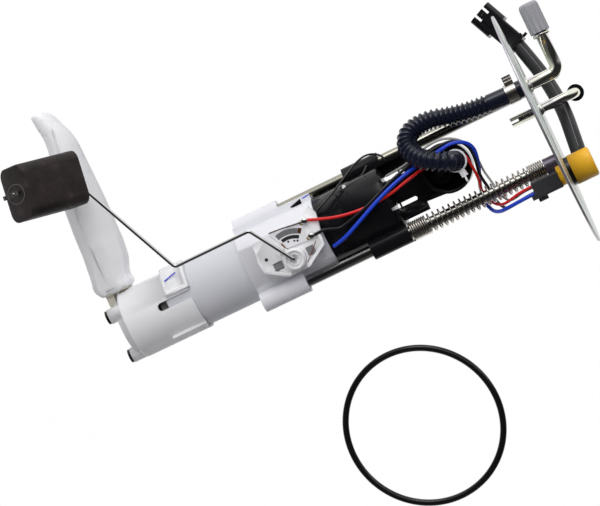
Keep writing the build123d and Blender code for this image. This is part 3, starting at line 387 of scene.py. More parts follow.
cap_mouth = (-55.45, -2.0, 23.5)
cap_profile = [(4.05, 0.0), (5.9, 0.0), (6.3, 0.3), (6.5, 0.9), (6.5, 16.5), (6.42, 17.6), (6.1, 18.7), (5.5, 19.5),
               (4.6, 19.9), (3.6, 20.0), (0, 20.0), (0, 18.0), (3.7, 18.0), (4.05, 17.6)]
flute_count, flute_depth = 12, 0.5
flute_inside, flute_foot, flute_end, flute_fade = 5.0, 0.6, 19.9, 3.0
cap_form = turned_form(cap_profile, flute_count * 12, close=True)
for vertex in cap_form.verts:
    radius, height = vertex.co.xy.length / mm, vertex.co.z / mm
    if radius > flute_inside and height > flute_foot:
        wave = 0.5 + 0.5 * cos(flute_count * atan2(vertex.co.y, vertex.co.x))
        vertex.co.xy *= 1 - flute_depth / radius * wave * min(1.0, (flute_end - height) / flute_fade)
place(cap_form, Vector(cap_mouth) * mm, Matrix.Rotation(-pi / 2, 4, "Y"))
cap_grey = mottled("grey_cap", (0.34, 0.34, 0.37), (0.40, 0.40, 0.42), 60.0, 0.4)
add_piece("fluted_cap", to_mesh(cap_form, "fluted_cap", 50.0), cap_grey, "supply_cap", "grey_cap", "supply_tube_cap")

# The guide rods: ground steel, zinc plated, with a faint violet and yellow cast along them. They are fixed in the
# flange, and the pump slides on them.

rod_dia, rod_end, rod_top, rod_chamfer = 7.5, -180.0, 1.0, 0.8
rod_profile = [(0, rod_end), (rod_dia / 2 - rod_chamfer, rod_end), (rod_dia / 2, rod_end + rod_chamfer),
               (rod_dia / 2, rod_top), (0, rod_top)]
rod_steel = Finish("rod_steel", (0.62, 0.60, 0.60), 0.16, 1.0)
rod_steel.put({"Base Color": rod_steel.ramp(
    rod_steel.noise(9.0, 2.0, (1, 1, 0.3)),
    (0.35, (0.30, 0.28, 0.32)),
    (0.50, (0.34, 0.33, 0.34)),
    (0.65, (0.38, 0.37, 0.31)),
), "Roughness": 0.12 + 0.08 * rod_steel.noise(500.0, 2.0, (1, 1, 0.1))})
for rod_name in ("guide_rod_front", "guide_rod_rear"):
    rod_low, rod_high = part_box(rod_name)
    rod_axis = (rod_low + rod_high) / 2
    rod_form = turned_form(rod_profile, 48)
    place(rod_form, (rod_axis.x, rod_axis.y, 0))
    add_piece("ground_" + rod_name, to_mesh(rod_form, rod_name, 30.0), rod_steel, "flange", "rod_steel", rod_name)

# The dark sleeve on the front rod, under the flange: a plastic tube with a violet shine, which the coil spring
# stands against.

sleeve_paint = mottled("dark_sleeve", (0.10, 0.09, 0.12), (0.16, 0.13, 0.18), 200.0, 0.24, 0.6)
merged_copy("stop_sleeve", "rod_spacer", sleeve_paint, "flange", "dark_plastic")

# The coil spring: round steel wire wound round the front rod, with its turns touching at both ends. It pushes
# the pump down against the tank's floor. The push nuts on the rods' ends are of the same steel.

spring_radius, spring_wire, spring_pitch = 5.72, 1.45, 3.63
touching_top, touching_bottom = 7, 8
turn_steps = 20
spring_low, spring_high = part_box("coil_spring")
spring_centre = (spring_low + spring_high) / 2


def dress(finish, *names):
    """Give CAD nodes their material."""
    for name in names:
        for entry in nodes[name].material_slots:
            entry.material = finish.material


def curve_mesh(points, radius, name, kind="NURBS", sides=3):
    """Round bar along control points in metres, as a mesh."""
    curve = bpy.data.curves.new(name, "CURVE")
    curve.dimensions = "3D"
    curve.resolution_u = 8
    curve.bevel_depth = radius
    curve.bevel_resolution = sides
    curve.use_fill_caps = True
    line = curve.splines.new(kind)
    line.points.add(len(points) - 1)
    for point, spot in zip(line.points, points):
        point.co = (*spot, 1.0)
    if kind == "NURBS":
        line.order_u = 3
        line.use_endpoint_u = True
    holder = bpy.data.objects.new(name, curve)
    mesh = bpy.data.meshes.new_from_object(holder)
    bpy.data.objects.remove(holder)
    bpy.data.curves.remove(curve)
    mesh.name = name
    return mesh


def spring_heights():
    """Height of each point of the wire, from the bottom up, in millimetres."""
    height, top = spring_low.z / mm + spring_wire / 2, spring_high.z / mm - spring_wire / 2
    open_span = top - height - (touching_top + touching_bottom) * spring_wire
    open_turns = round(open_span / spring_pitch)
    yield height
    for turns, rise in ((touching_bottom, spring_wire), (open_turns, open_span / open_turns),
                        (touching_top, spring_wire)):
        for _ in range(turns * turn_steps):
            height += rise / turn_steps
            yield height


spring_steel = mottled("spring_steel", (0.72, 0.69, 0.65), (0.58, 0.54, 0.49), 240.0, 0.2, 1.0)
spring_steel.put({"Roughness": 0.14 + 0.12 * spring_steel.noise(800.0)})
dress(spring_steel, "rod_retainers")
spring_points = []
for step, height in enumerate(spring_heights()):
    angle = 2 * pi * step / turn_steps
    spring_points.append(Vector((
        spring_centre.x + spring_radius * mm * cos(angle),
        spring_centre.y + spring_radius * mm * sin(angle),
        height * mm,
    )))
spring_mesh = curve_mesh(spring_points, (spring_wire / 2 - 0.09) * mm, "wound_spring", "POLY", 2)
spring = add_piece("wound_spring", spring_mesh, spring_steel, "flange", "spring_steel", "coil_spring")
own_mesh(spring)

# The hose's ear clamp: a band of the same steel round the cuff, drawn tight by squeezing its ear. The ear stands
# out on the left, and the squeezing has left it rippled.

clamp_low, clamp_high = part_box("hose_clamp")
clamp_foot = -35.6
ear_size = (5.4, 1.1, 5.8)
ear_overlap, ear_depth, ear_wave, ear_ripple = 0.6, -4.2, 0.45, 1.9


def close_holes(form):
    bmesh.ops.holes_fill(form, edges=[edge for edge in form.edges if edge.is_boundary], sides=0)


def block(size):
    """A box about the origin; its size is in millimetres."""
    form = bmesh.new()
    bmesh.ops.create_cube(form, size=1.0)
    bmesh.ops.scale(form, verts=form.verts, vec=Vector(size) * mm)
    return form


def edges_along(form, axis, least):
    """The edges whose ends are further apart along an axis than a length in metres."""
    return [edge for edge in form.edges if abs(edge.verts[0].co[axis] - edge.verts[1].co[axis]) > least]


def waved_strip(size, cuts, wave_axis, wave, period):
    """A strip along X that is pressed into waves."""
    form = block(size)
    bmesh.ops.subdivide_edges(form, edges=edges_along(form, 0, size[0] / 2 * mm), cuts=cuts)
    for vertex in form.verts:
        vertex.co[wave_axis] += wave * mm * cos(vertex.co.x / mm * 2 * pi / period)
    return form


band_form = bmesh.new()
band_form.from_mesh(nodes["hose_clamp"].data)
bmesh.ops.remove_doubles(band_form, verts=band_form.verts, dist=1e-6)
bmesh.ops.bisect_plane(band_form, geom=band_form.verts[:] + band_form.edges[:] + band_form.faces[:],
                       plane_co=(clamp_foot * mm, 0, 0), plane_no=(-1, 0, 0), clear_outer=True)
close_holes(band_form)
add_piece("clamp_band", to_mesh(band_form, "clamp_band", 32.0), spring_steel, "flange", "spring_steel", "hose_clamp")
ear_form = waved_strip(ear_size, 31, 1, ear_wave, ear_ripple)
place(ear_form, ((clamp_foot - ear_size[0] / 2 + ear_overlap) * mm, ear_depth * mm,
                 (clamp_low.z + clamp_high.z) / 2))
add_piece("clamp_ear", to_mesh(ear_form, "clamp_ear", 50.0), spring_steel, "flange", "spring_steel")

# The pump inside the reservoir: a steel can with its magnets, armature, brushes, impeller and covers. It is
# hidden in the photograph and keeps its CAD shape.

can_steel = mottled("pump_can", (0.68, 0.66, 0.58), (0.56, 0.54, 0.50), 60.0, 0.3, 1.0)
merged_copy("pump_can", "pump_shell", can_steel, "carriage", "pump_can")
casting = mottled("pump_casting", (0.54, 0.54, 0.54), (0.42, 0.42, 0.42), 400.0, 0.45, 0.9)
dress(casting, "pump_inlet_cover")
magnet = mottled("magnet", (0.04, 0.04, 0.045), (0.07, 0.07, 0.075), 500.0, 0.6)
dress(magnet, "pump_magnets", "carbon_brushes")
laminate = Finish("laminated_steel", (0.40, 0.36, 0.33), 0.4, 0.9)
laminate.put({"Base Color": laminate.blend(laminate.axis("Z") * 900.0, (0.42, 0.38, 0.34), (0.34, 0.31, 0.29))})
dress(laminate, "pump_armature")

# The pump bracket: moulded black acetal, glossy with a faint grain. The return tube's cap, the outlet's stub and
# the pump's top are of the same black, and the pressure regulator sits in its round cup.

black_plastic = mottled("black_plastic", (0.005, 0.005, 0.006), (0.010, 0.010, 0.012), 30.0, 0.26,
                        Specular_IOR_Level=0.2)
black_plastic.put({"Roughness": 0.14 + 0.08 * black_plastic.noise(60.0, 5.0)})
dress(black_plastic, "outlet_port", "return_tube_cap", "pump_outlet_cap", "pump_impeller")
merged_copy("bracket_moulding", "pump_bracket", black_plastic, "carriage", "black_plastic")
regulator_steel = Finish("regulator_steel", (0.035, 0.035, 0.04), 0.3, 0.7)
regulator_steel.put({"Roughness": 0.25 + 0.2 * regulator_steel.noise(300.0)})
merged_copy("regulator_can", "pressure_regulator", regulator_steel, "carriage", "spring_steel")

# The lead's connector: glossy black nylon with a lock tab, and tinned pins pressed into its socket. The check
# valve in the pump's outlet is of brass too.

connector_black = Finish("connector_black", (0.006, 0.006, 0.008), 0.18)
connector_black.put({"Roughness": 0.16 + 0.12 * connector_black.noise(90.0, 4.0)})
dress(connector_black, "lead_connector", "connector_lock")
brass = mottled("tinned_brass", (0.74, 0.66, 0.44), (0.66, 0.55, 0.32), 300.0, 0.25, 1.0)
dress(brass, "connector_terminals", "check_valve")

# The yellow pass-through, which carries the wires through the flange, and the plug under it: moulded acetal and
# glass-filled nylon with a fine grain.

yellow_plastic = mottled("yellow_plastic", (1.0, 0.56, 0.025), (0.96, 0.47, 0.015), 60.0, 0.36)
merged_copy("yellow_turret", "pass_through", yellow_plastic, "flange", "yellow_plastic")
grey_plastic = mottled("grey_plastic", (0.030, 0.031, 0.034), (0.042, 0.043, 0.047), 80.0, 0.5)
grey_plastic.bump(grey_plastic.noise(1500.0, 2.0), 0.00002)
dress(grey_plastic, "harness_plug")

# The seals and the feet's pads: black nitrile rubber, moulded and a little glossy. The tank's seal ring lies
# beside the module, turned a little from the camera.

rubber = Finish("black_rubber", (0.008, 0.008, 0.008), 0.34)
rubber.put({"Roughness": 0.14 + 0.08 * rubber.noise(120.0)})
dress(rubber, "pass_through_gasket", "foot_pads")
seal_radius, seal_section, seal_sides = 50.6, 4.2, 20
seal_centre = Vector((135.0, 0.0, -148.4)) * mm - picture_up * 1.1 * mm
seal_facing = Vector((0.08, -0.985, -0.156))
seal_profile = []
for step in range(seal_sides):
    angle = 2 * pi * step / seal_sides
    seal_profile.append((seal_radius + seal_section / 2 * cos(angle), seal_section / 2 * sin(angle)))
seal_form = turned_form(seal_profile, 200, close=True)
place(seal_form, seal_centre, seal_facing.to_track_quat("Z", "Y").to_matrix().to_4x4())
add_piece("moulded_seal_ring", to_mesh(seal_form, "moulded_seal_ring", 80.0), rubber, "flange", "black_rubber",
          "tank_seal_ring")

# The white mouldings: polypropylene and acetal, half clear, so light bleeds into them. The cable tie is white
# nylon, and the strainer's neck a beige moulding.


def half_clear(name, colour, rough, weight, bleed):
    """A plastic that light bleeds into, as far as bleed in metres."""
    return Finish(name, colour, rough, Subsurface_Weight=weight, Subsurface_Radius=(bleed, bleed, bleed),
                  Subsurface_Scale=1.0)


white_plastic = half_clear("white_plastic", (0.80, 0.80, 0.81), 0.36, 0.2, 0.003)
white_plastic.put({"Base Color": white_plastic.ramp(
    white_plastic.noise(22.0, 2.0),
    (0.30, (0.84, 0.83, 0.88)),
    (0.50, (0.82, 0.82, 0.86)),
    (0.70, (0.78, 0.79, 0.84)),
), "Roughness": 0.32 + 0.1 * white_plastic.noise(90.0)})
milky_plastic = half_clear("milky_plastic", (0.70, 0.70, 0.73), 0.4, 0.25, 0.003)
milky_plastic.put({"Base Color": milky_plastic.ramp(
    milky_plastic.noise(16.0, 2.0),
    (0.30, (0.72, 0.72, 0.76)),
    (0.50, (0.69, 0.70, 0.74)),
    (0.70, (0.66, 0.67, 0.71)),
), "Roughness": 0.36 + 0.1 * milky_plastic.noise(90.0)})
clear_white = half_clear("frame_plastic", (0.92, 0.92, 0.93), 0.36, 0.2, 0.002)
clear_white.put({"Base Color": clear_white.blend(clear_white.noise(60.0), (0.95, 0.95, 0.96), (0.88, 0.88, 0.90)),
                 "Roughness": 0.30 + 0.12 * clear_white.noise(120.0)})
for white_node, white_finish, white_body in (
    ("sender_collar", white_plastic, "carriage"), ("reservoir", milky_plastic, "carriage"),
    ("reservoir_cup", clear_white, "carriage"), ("sender_base", clear_white, "carriage"),
    ("sender_rotor", clear_white, "float_arm"),
):
    merged_copy("moulded_" + white_node, white_node, white_finish, white_body, "white_nylon")
dress(white_plastic, "pump_impeller_housing")
tie_white = mottled("cable_tie_white", (0.84, 0.84, 0.87), (0.90, 0.90, 0.92), 200.0, 0.4)
dress(tie_white, "cable_tie")
beige = mottled("beige_plastic", (0.62, 0.59, 0.50), (0.54, 0.51, 0.43), 80.0, 0.5)
dress(beige, "strainer_neck")

# The strainer's sock: a bag of needled white felt, two sheets sewn together round their edge, drawn over the
# beige neck and gathered there. It swells a little and wrinkles, as cloth does.

cup_floor = -290.0
# Each station: the place along X, the middle across, the half width, and the top and bottom over the cup's floor.
sock_stations = [
    (-24.2, 2.0, 11.2, 9.0, -9.4),
    (-26.2, 2.0, 12.8, 12.8, -11.0),
    (-28.6, 2.0, 12.4, 12.6, -12.2),
    (-31.6, 2.2, 12.8, 11.4, -13.2),
    (-36.4, 3.2, 14.6, 12.6, -12.2),
    (-42.7, 4.4, 16.8, 15.0, -11.4),
    (-53.0, 5.0, 18.4, 16.4, -10.6),
    (-66.8, 5.0, 18.8, 17.2, -9.8),
    (-84.6, 5.0, 18.8, 17.6, -8.0),
    (-100.4, 5.0, 18.6, 17.4, -4.8),
    (-123.3, 5.0, 17.8, 17.0, -0.6),
    (-131.0, 5.0, 17.0, 15.4, 0.4),
    (-137.0, 5.0, 16.2, 13.0, -0.2),
    (-145.6, 5.0, 14.8, 9.6, -2.4),
    (-149.0, 5.0, 13.6, 6.6, -3.4),
]
sock_rings, sock_sides, sock_squareness = 56, 64, 0.45
gather_folds, gather_depth, gather_twist, gather_share = 9, 0.10, 9, 0.3
felt = Finish("felt", (0.94, 0.94, 0.96), 0.95, Subsurface_Weight=0.6, Subsurface_Scale=1.0,
              Subsurface_Radius=(0.012, 0.012, 0.012))
felt.put({"Base Color": felt.ramp(
    felt.noise(45.0),
    (0.30, (0.92, 0.92, 0.95)),
    (0.55, (0.95, 0.95, 0.97)),
    (0.75, (0.97, 0.97, 0.98)),
)})
felt.bump(felt.noise(1400.0, 4.0) + 0.5 * felt.noise(300.0, 4.0), 0.0002)


def station_at(reach):
    """The station's values at any place along the sock, in millimetres."""
    for before, after in zip(sock_stations, sock_stations[1:]):
        if after[0] <= reach:
            share = (before[0] - reach) / (before[0] - after[0])
            return [a + (b - a) * share for a, b in zip(before, after)]
    return list(sock_stations[-1])


sock_form = bmesh.new()
bmesh.ops.create_cone(sock_form, cap_ends=False, segments=sock_sides, radius1=1.0, radius2=1.0, depth=1.0)
bmesh.ops.subdivide_edges(sock_form, edges=edges_along(sock_form, 2, 0.5), cuts=sock_rings - 1)
for vertex in sock_form.verts:
    share = 0.5 - vertex.co.z
    turn = atan2(vertex.co.y, vertex.co.x)
    reach, middle, half_wide, top, bottom = station_at(
        sock_stations[0][0] + (sock_stations[-1][0] - sock_stations[0][0]) * share)
    gathered = max(0.0, 1 - share / gather_share)
    fold = 1 + gather_depth * gathered * sin(gather_folds * turn + gather_twist * share)
    boxy = abs(sin(turn)) ** sock_squareness * (1 if sin(turn) > 0 else -1)
    bulge = boxy * gathered + sin(turn) * (1 - gathered)
    vertex.co = Vector((
        reach,
        middle + half_wide * cos(turn) * fold,
        cup_floor + (top + bottom) / 2 + (top - bottom) / 2 * bulge * fold,
    )) * mm
close_holes(sock_form)
sock = add_piece("felt_sock", to_mesh(sock_form, "felt_sock", 80.0), felt, "carriage", "felt", "strainer_sock")


def swell(piece, voxel, pressure, reach, frames=20):
    """Blow a closed form up as cloth, and keep each point within reach of where it was."""
    remesh = piece.modifiers.new("remesh", "REMESH")
    remesh.mode = "VOXEL"
    remesh.voxel_size = voxel
    depsgraph = bpy.context.evaluated_depsgraph_get()
    start = bpy.data.meshes.new_from_object(piece.evaluated_get(depsgraph))
    piece.modifiers.clear()
    piece.data = start
    cloth = piece.modifiers.new("cloth", "CLOTH")
    cloth.settings.use_pressure = True
    cloth.settings.uniform_pressure_force = pressure
    cloth.settings.effector_weights.gravity = 0.0
    cloth.point_cache.frame_start, cloth.point_cache.frame_end = 1, frames
    for step in range(1, frames + 1):
        bpy.context.scene.frame_set(step)
    depsgraph = bpy.context.evaluated_depsgraph_get()
    swollen = bpy.data.meshes.new_from_object(piece.evaluated_get(depsgraph))
    piece.modifiers.clear()
    for before, after in zip(start.vertices, swollen.vertices):
        moved = after.co - before.co
        if moved.length > reach:
            after.co = before.co + moved.normalized() * reach
    piece.data = swollen
    swollen.shade_smooth()
    smooth = piece.modifiers.new("smooth", "SUBSURF")
    smooth.levels = smooth.render_levels = 1
    bpy.context.scene.frame_set(1)


def metres(points):
    """Points in millimetres as vectors in metres."""
    return [Vector(point) * mm for point in points]


swell(sock, voxel=0.0018, pressure=4.0, reach=0.0010)

seam_heights = [(-33.0, -1.2), (-43.4, -1.4), (-53.8, -0.7), (-62.5, -0.9), (-73.8, -1.6), (-92.0, 4.2),
                (-110.3, 7.2), (-128.0, 8.6), (-138.5, 9.8), (-148.0, 2.2)]
seam_proud = 0.3
seam_points = []
for side_sign in (-1, 1):
    for reach, height in seam_heights[::-side_sign]:
        _, middle, half_wide, top, bottom = station_at(reach)
        lean = (height - (top + bottom) / 2) / ((top - bottom) / 2)
        out = half_wide * (1 - lean * lean) ** 0.5 + seam_proud
        seam_points.append((reach, middle + side_sign * out, cup_floor + height))
add_piece("felt_seam", curve_mesh(metres(seam_points), 0.6 * mm, "felt_seam", sides=2), felt, "carriage", "felt")
bead_points = [(-27.6, 2.1 + 12.2 * cos(turn * pi / 8), cup_floor + 0.2 + 11.5 * sin(turn * pi / 8))
               for turn in range(17)]
add_piece("sock_bead", curve_mesh(metres(bead_points), 0.8 * mm, "sock_bead", sides=2), felt, "carriage", "felt")

# The level sender: a resistor card in a white frame, swept by the rotor's leaf. Its printed tracks are thin
# raised strips, grey and black, with a copper pad, and its terminals are soldered.

pivot = Vector((5.9, 0.0, -172.5))
card_face = -28.7
blob_dia, blob_sink = 4.3, 0.5


def face_strip(name, radii, turns, rise, finish, slot_name):
    """A flat strip on the card, curved about the sender's pivot; turns are in degrees from +X towards +Z."""
    form = bmesh.new()
    inner, outer = radii
    foot, crest = card_face + 0.05, card_face - rise
    corners = [form.verts.new(spot) for spot in metres([(inner, foot, 0), (outer, foot, 0), (outer, crest, 0),
                                                        (inner, crest, 0)])]
    edges = [form.edges.new(pair) for pair in zip(corners, corners[1:] + corners[:1])]
    bmesh.ops.rotate(form, verts=corners, cent=(0, 0, 0), matrix=Matrix.Rotation(radians(turns[0]), 3, (0, -1, 0)))
    bmesh.ops.spin(form, geom=corners + edges, axis=(0, -1, 0), cent=(0, 0, 0), steps=24,
                   angle=radians(turns[1] - turns[0]))
    close_holes(form)
    place(form, pivot * mm)
    return add_piece(name, to_mesh(form, name, 30.0), finish, "carriage", slot_name)


def peg(name, foot, dia, rise, finish, slot_name, dome=0.0):
    """A short round peg that stands out towards the camera from its foot; dome narrows its end."""
    form = bmesh.new()
    bmesh.ops.create_cone(form, cap_ends=True, segments=24, radius1=dia / 2 * mm, radius2=(dia / 2 - dome) * mm,
                          depth=rise * mm)
    place(form, (Vector(foot) - Vector((0, rise / 2, 0))) * mm, Matrix.Rotation(pi / 2, 4, "X"))
    return add_piece(name, to_mesh(form, name, 50.0), finish, "carriage", slot_name)


track_grey = mottled("track_grey", (0.12, 0.12, 0.13), (0.22, 0.22, 0.23), 900.0, 0.4)
track_black = mottled("track_black", (0.012, 0.012, 0.014), (0.04, 0.04, 0.042), 700.0, 0.35)
copper = mottled("copper", (0.50, 0.22, 0.10), (0.30, 0.13, 0.07), 500.0, 0.35, 0.9)
bronze = mottled("bronze", (0.12, 0.07, 0.05), (0.06, 0.04, 0.03), 500.0, 0.35, 0.9)
solder = mottled("solder", (0.88, 0.88, 0.86), (0.66, 0.65, 0.62), 900.0, 0.16, 1.0)
flux = mottled("solder_flux", (0.46, 0.36, 0.18), (0.30, 0.22, 0.10), 800.0, 0.25)
ceramic = mottled("ceramic", (0.90, 0.90, 0.92), (0.82, 0.82, 0.85), 120.0, 0.4)
dress(ceramic, "resistor_card")
dress(solder, "sender_terminals")
dress(copper, "wiper_contact")
face_strip("resistor_track", (15.8, 19.2), (151.5, 197.0), 0.12, track_grey, "ceramic")
face_strip("track_pad", (16.0, 19.4), (143.5, 151.0), 0.14, copper, "copper")
face_strip("contact_track", (12.8, 15.0), (146.0, 193.0), 0.12, track_black, "ceramic")
for dot, (dot_x, dot_z) in enumerate(((-5.8, -172.1), (-4.7, -168.4), (-3.9, -166.6))):
    peg("track_dot_%d" % dot, (dot_x, card_face, dot_z), 1.3, 0.15, bronze, "ceramic")
for joint_name, joint_x, joint_z in (("left", -13.0, -157.4), ("right", -2.9, -157.4)):
    blob = bmesh.new()
    bmesh.ops.create_uvsphere(blob, u_segments=32, v_segments=16, radius=blob_dia / 2 * mm)
    bmesh.ops.scale(blob, verts=blob.verts, vec=(1.0, 0.75, 1.15))
    place(blob, Vector((joint_x, card_face - blob_sink, joint_z)) * mm)
    add_piece("solder_blob_" + joint_name, to_mesh(blob, "solder_blob"), solder, "carriage", "solder")
    peg("flux_" + joint_name, (joint_x + 0.6, card_face, joint_z - 2.6), 2.4, 0.3, flux, "solder", dome=0.6)
edge_points = [(-15.6, -29.1, -181.0), (-15.0, -29.4, -172.0), (-13.6, -29.5, -163.0), (-13.0, -29.6, -158.0)]
edge_mesh = curve_mesh(metres(edge_points), 0.38 * mm, "card_edge_wire")
add_piece("card_edge_wire", edge_mesh, bronze, "carriage", "copper")
window_points = [(1.0, -29.6, -156.2), (5.6, -30.0, -160.2), (10.9, -29.6, -166.6)]
window_mesh = curve_mesh(metres(window_points), 0.25 * mm, "window_wire")
add_piece("window_wire", window_mesh, copper, "carriage", "copper")
# A black disc set in the frame's small hole: painted shade of the hole's inside.
peg("frame_hole_shade", (-1.4, -28.0, -189.6), 2.2, 0.1, track_black, "ceramic")

# The white rings round the rotor's hub turn with it. The frame's windows and the collar's notch are filled with grey
# and black blocks that are painted shade, and a blue pen has marked the collar and the cup.

rotor_face = -34.1
for ring_name, ring_radius in (("rotor_ring_wide", 5.9), ("rotor_ring_narrow", 3.6)):
    ring_form = turned_form([(ring_radius - 0.35, -0.4), (ring_radius - 0.3, 0.35), (ring_radius + 0.3, 0.35),
                             (ring_radius + 0.35, -0.4)], 64, close=True)
    place(ring_form, Vector((pivot.x, rotor_face, pivot.z)) * mm, Matrix.Rotation(pi / 2, 4, "X"))
    add_piece(ring_name, to_mesh(ring_form, ring_name), clear_white, "float_arm", "white_nylon")


def small_block(name, spot, size, finish, slot_name, lean=0.0, taper=1.0):
    """A small box at a spot in millimetres, leaning about Y by degrees, its lower end narrowed by taper."""
    form = block(size)
    for vertex in form.verts:
        if vertex.co.z < 0:
            vertex.co.x *= taper
    place(form, Vector(spot) * mm, Matrix.Rotation(radians(lean), 4, "Y"))
    return add_piece(name, to_mesh(form, name), finish, "carriage", slot_name)


# Grey blocks in the sender frame's two windows: painted shade of the dark inside behind them.
painted_shade_grey = mottled("painted_shade_grey", (0.18, 0.18, 0.19), (0.24, 0.24, 0.25), 200.0, 0.5)
ink = mottled("blue_ink", (0.02, 0.03, 0.80), (0.05, 0.08, 0.60), 900.0, 0.4)
small_block("window_shade_high", (4.9, -27.5, -161.7), (5.4, 2.0, 5.0), painted_shade_grey, "ceramic")
small_block("window_shade_low", (5.4, -27.5, -184.2), (3.8, 2.0, 4.8), painted_shade_grey, "ceramic")
# A black wedge in the collar's notch: painted shade of the dark inside.
small_block("notch_shade", (-24.9, -2.2, -161.2), (4.8, 2.0, 7.6), black_plastic, "black_plastic", taper=0.12)
small_block("collar_mark", (-27.0, -3.0, -153.6), (0.7, 0.25, 4.6), ink, "blue_insulation", lean=-7)
body_middle = -1.0


def on_body(x, radius, z):
    """A point in front on the round body at a radius, in millimetres."""
    return (x, -(radius ** 2 - (x - body_middle) ** 2) ** 0.5, z)


mark_points = [on_body(-19.4, 25.75, -247.1), on_body(-18.7, 25.75, -249.6), on_body(-18.2, 25.3, -251.6),
               on_body(-17.1, 24.9, -255.6)]
add_piece("pad_mark", curve_mesh(metres(mark_points), 0.4 * mm, "pad_mark"), ink, "carriage", "blue_insulation")

# Two thin black wires of the sender: one comes from under the collar's edge over the rear sleeve, the other lies
# on the bracket's cover.

thin_black = Finish("thin_insulation", (0.010, 0.010, 0.012), 0.3)
thin_black.put({"Roughness": 0.24 + 0.14 * thin_black.noise(400.0)})
thin_wires = {
    "collar_wire": [(-13.0, -19.4, -153.0), (-15.4, -20.6, -149.0), (-20.6, -16.0, -137.0), (-26.6, -9.0, -126.0),
                    (-32.6, -2.0, -115.6), (-34.4, 1.5, -107.6), (-31.4, 3.0, -101.0), (-26.4, 2.6, -98.0),
                    (-20.0, 1.6, -99.4)],
    "cover_wire": [(-20.4, -9.6, -120.6), (-23.4, -7.0, -114.0), (-27.6, 0.4, -110.6)],
}
for thin_name, thin_points in thin_wires.items():
    thin_mesh = curve_mesh(metres(thin_points), 0.65 * mm, thin_name)
    add_piece(thin_name, thin_mesh, thin_black, "carriage", "black_insulation")

# On the bracket's cover: two thin moulded lines that catch the light, and a white pin pushed into the small
# round hole.

cover_radius = 23.75
for line_name, (left_x, left_z), (right_x, right_z) in (
    ("cover_line_low", (-20.0, -134.8), (-7.0, -134.0)), ("cover_line_high", (-19.0, -127.6), (-9.0, -126.6)),
):
    line_points = [on_body(left_x + (right_x - left_x) * share, cover_radius, left_z + (right_z - left_z) * share)
                   for share in (0, 0.25, 0.5, 0.75, 1.0)]
    line_mesh = curve_mesh(metres(line_points), 0.16 * mm, line_name)
    add_piece(line_name, line_mesh, black_plastic, "carriage", "black_plastic")
peg("cover_pin", (-21.7, -10.6, -128.0), 2.7, 1.2, tie_white, "white_nylon", dome=0.2)

# The float: hard foam of nitrile rubber, dark brown-black and faintly pitted, on a bent steel wire. Its end has
# the faint ring that the mould leaves.

float_size, float_corner, float_edge = (34.4, 27.0, 42.6), 6.4, 0.9
float_way = Vector((-0.12, -0.70, -0.70)).normalized()
clip_low, clip_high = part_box("float_clip")
float_end = (clip_low + clip_high) / 2 + float_way * 0.4 * mm


def square_to(way, direction):
    """The unit direction square to a way that is nearest to a direction."""
    return (direction - way * way.dot(direction)).normalized()


def round_off(form, edges, offset, segments):
    """Round edges; the offset is in millimetres."""
    bmesh.ops.bevel(form, geom=edges, offset=offset * mm, offset_type="OFFSET", segments=segments, profile=0.5,
                    affect="EDGES", material=-1)


arm_chrome = mottled("arm_wire", (0.58, 0.58, 0.59), (0.66, 0.65, 0.65), 200.0, 0.05, 1.0)
merged_copy("arm_wire", "float_arm_wire", arm_chrome, "float_arm", "rod_steel")
foam = Finish("nitrile_foam", (0.022, 0.016, 0.013), 0.6, Specular_IOR_Level=0.3)
foam.put({"Base Color": foam.ramp(
    foam.noise(130.0, 5.0),
    (0.35, (0.016, 0.012, 0.012)),
    (0.60, (0.030, 0.022, 0.020)),
    (0.72, (0.050, 0.038, 0.034)),
), "Roughness": 0.5 + 0.2 * foam.noise(400.0)})
foam.bump(foam.noise(2200.0), 0.00012)
float_side = square_to(float_way, Vector((1, 0, float_way.x)))
float_stand = stand(float_side, float_way.cross(float_side), float_way)
float_form = block(float_size)
round_off(float_form, edges_along(float_form, 2, float_size[2] / 2 * mm), float_corner, 10)
end_edges = [edge for edge in float_form.edges if abs(edge.verts[0].co.z - edge.verts[1].co.z) < 1e-6]
round_off(float_form, end_edges, float_edge, 3)
place(float_form, float_end - float_way * float_size[2] / 2 * mm, float_stand)
add_piece("foam_float", to_mesh(float_form, "foam_float", 50.0), foam, "float", "nitrile_foam", "float")
mould_line = mottled("mould_line", (0.14, 0.13, 0.13), (0.20, 0.19, 0.19), 400.0, 0.5)
mould_form = turned_form([(5.15, -0.2), (5.15, 0.06), (5.4, 0.06), (5.4, -0.2)], 64, close=True)
bmesh.ops.scale(mould_form, verts=mould_form.verts, vec=(1.15, 1.9, 1.0))
place(mould_form, float_end, float_stand)
add_piece("mould_ring", to_mesh(mould_form, "mould_ring"), mould_line, "float", "nitrile_foam")

# The clip that holds the float on its wire: a small strip of spring steel pressed into waves, pushed on the
# wire's end in front of the float.

clip_size = (13.6, 2.8, 0.5)
clip_wave, clip_ripple, clip_lift, clip_shift = 0.7, 3.6, 1.1, 1.2
clip_steel = mottled("clip_steel", (0.88, 0.86, 0.84), (0.66, 0.63, 0.60), 500.0, 0.16, 1.0)
bar_way = picture_right * 0.95 + picture_up * 0.316
bar_way = (bar_way - float_way * bar_way.dot(float_way) * 0.75).normalized()
clip_out = square_to(bar_way, float_way)
clip_form = waved_strip(clip_size, 35, 2, clip_wave, clip_ripple)
place(clip_form, float_end + ((float_way - bar_way) * clip_shift + clip_out * clip_lift) * mm,
      stand(bar_way, clip_out.cross(bar_way), clip_out))
add_piece("wave_clip", to_mesh(clip_form, "wave_clip", 50.0), clip_steel, "float_arm", "spring_steel", "float_clip")
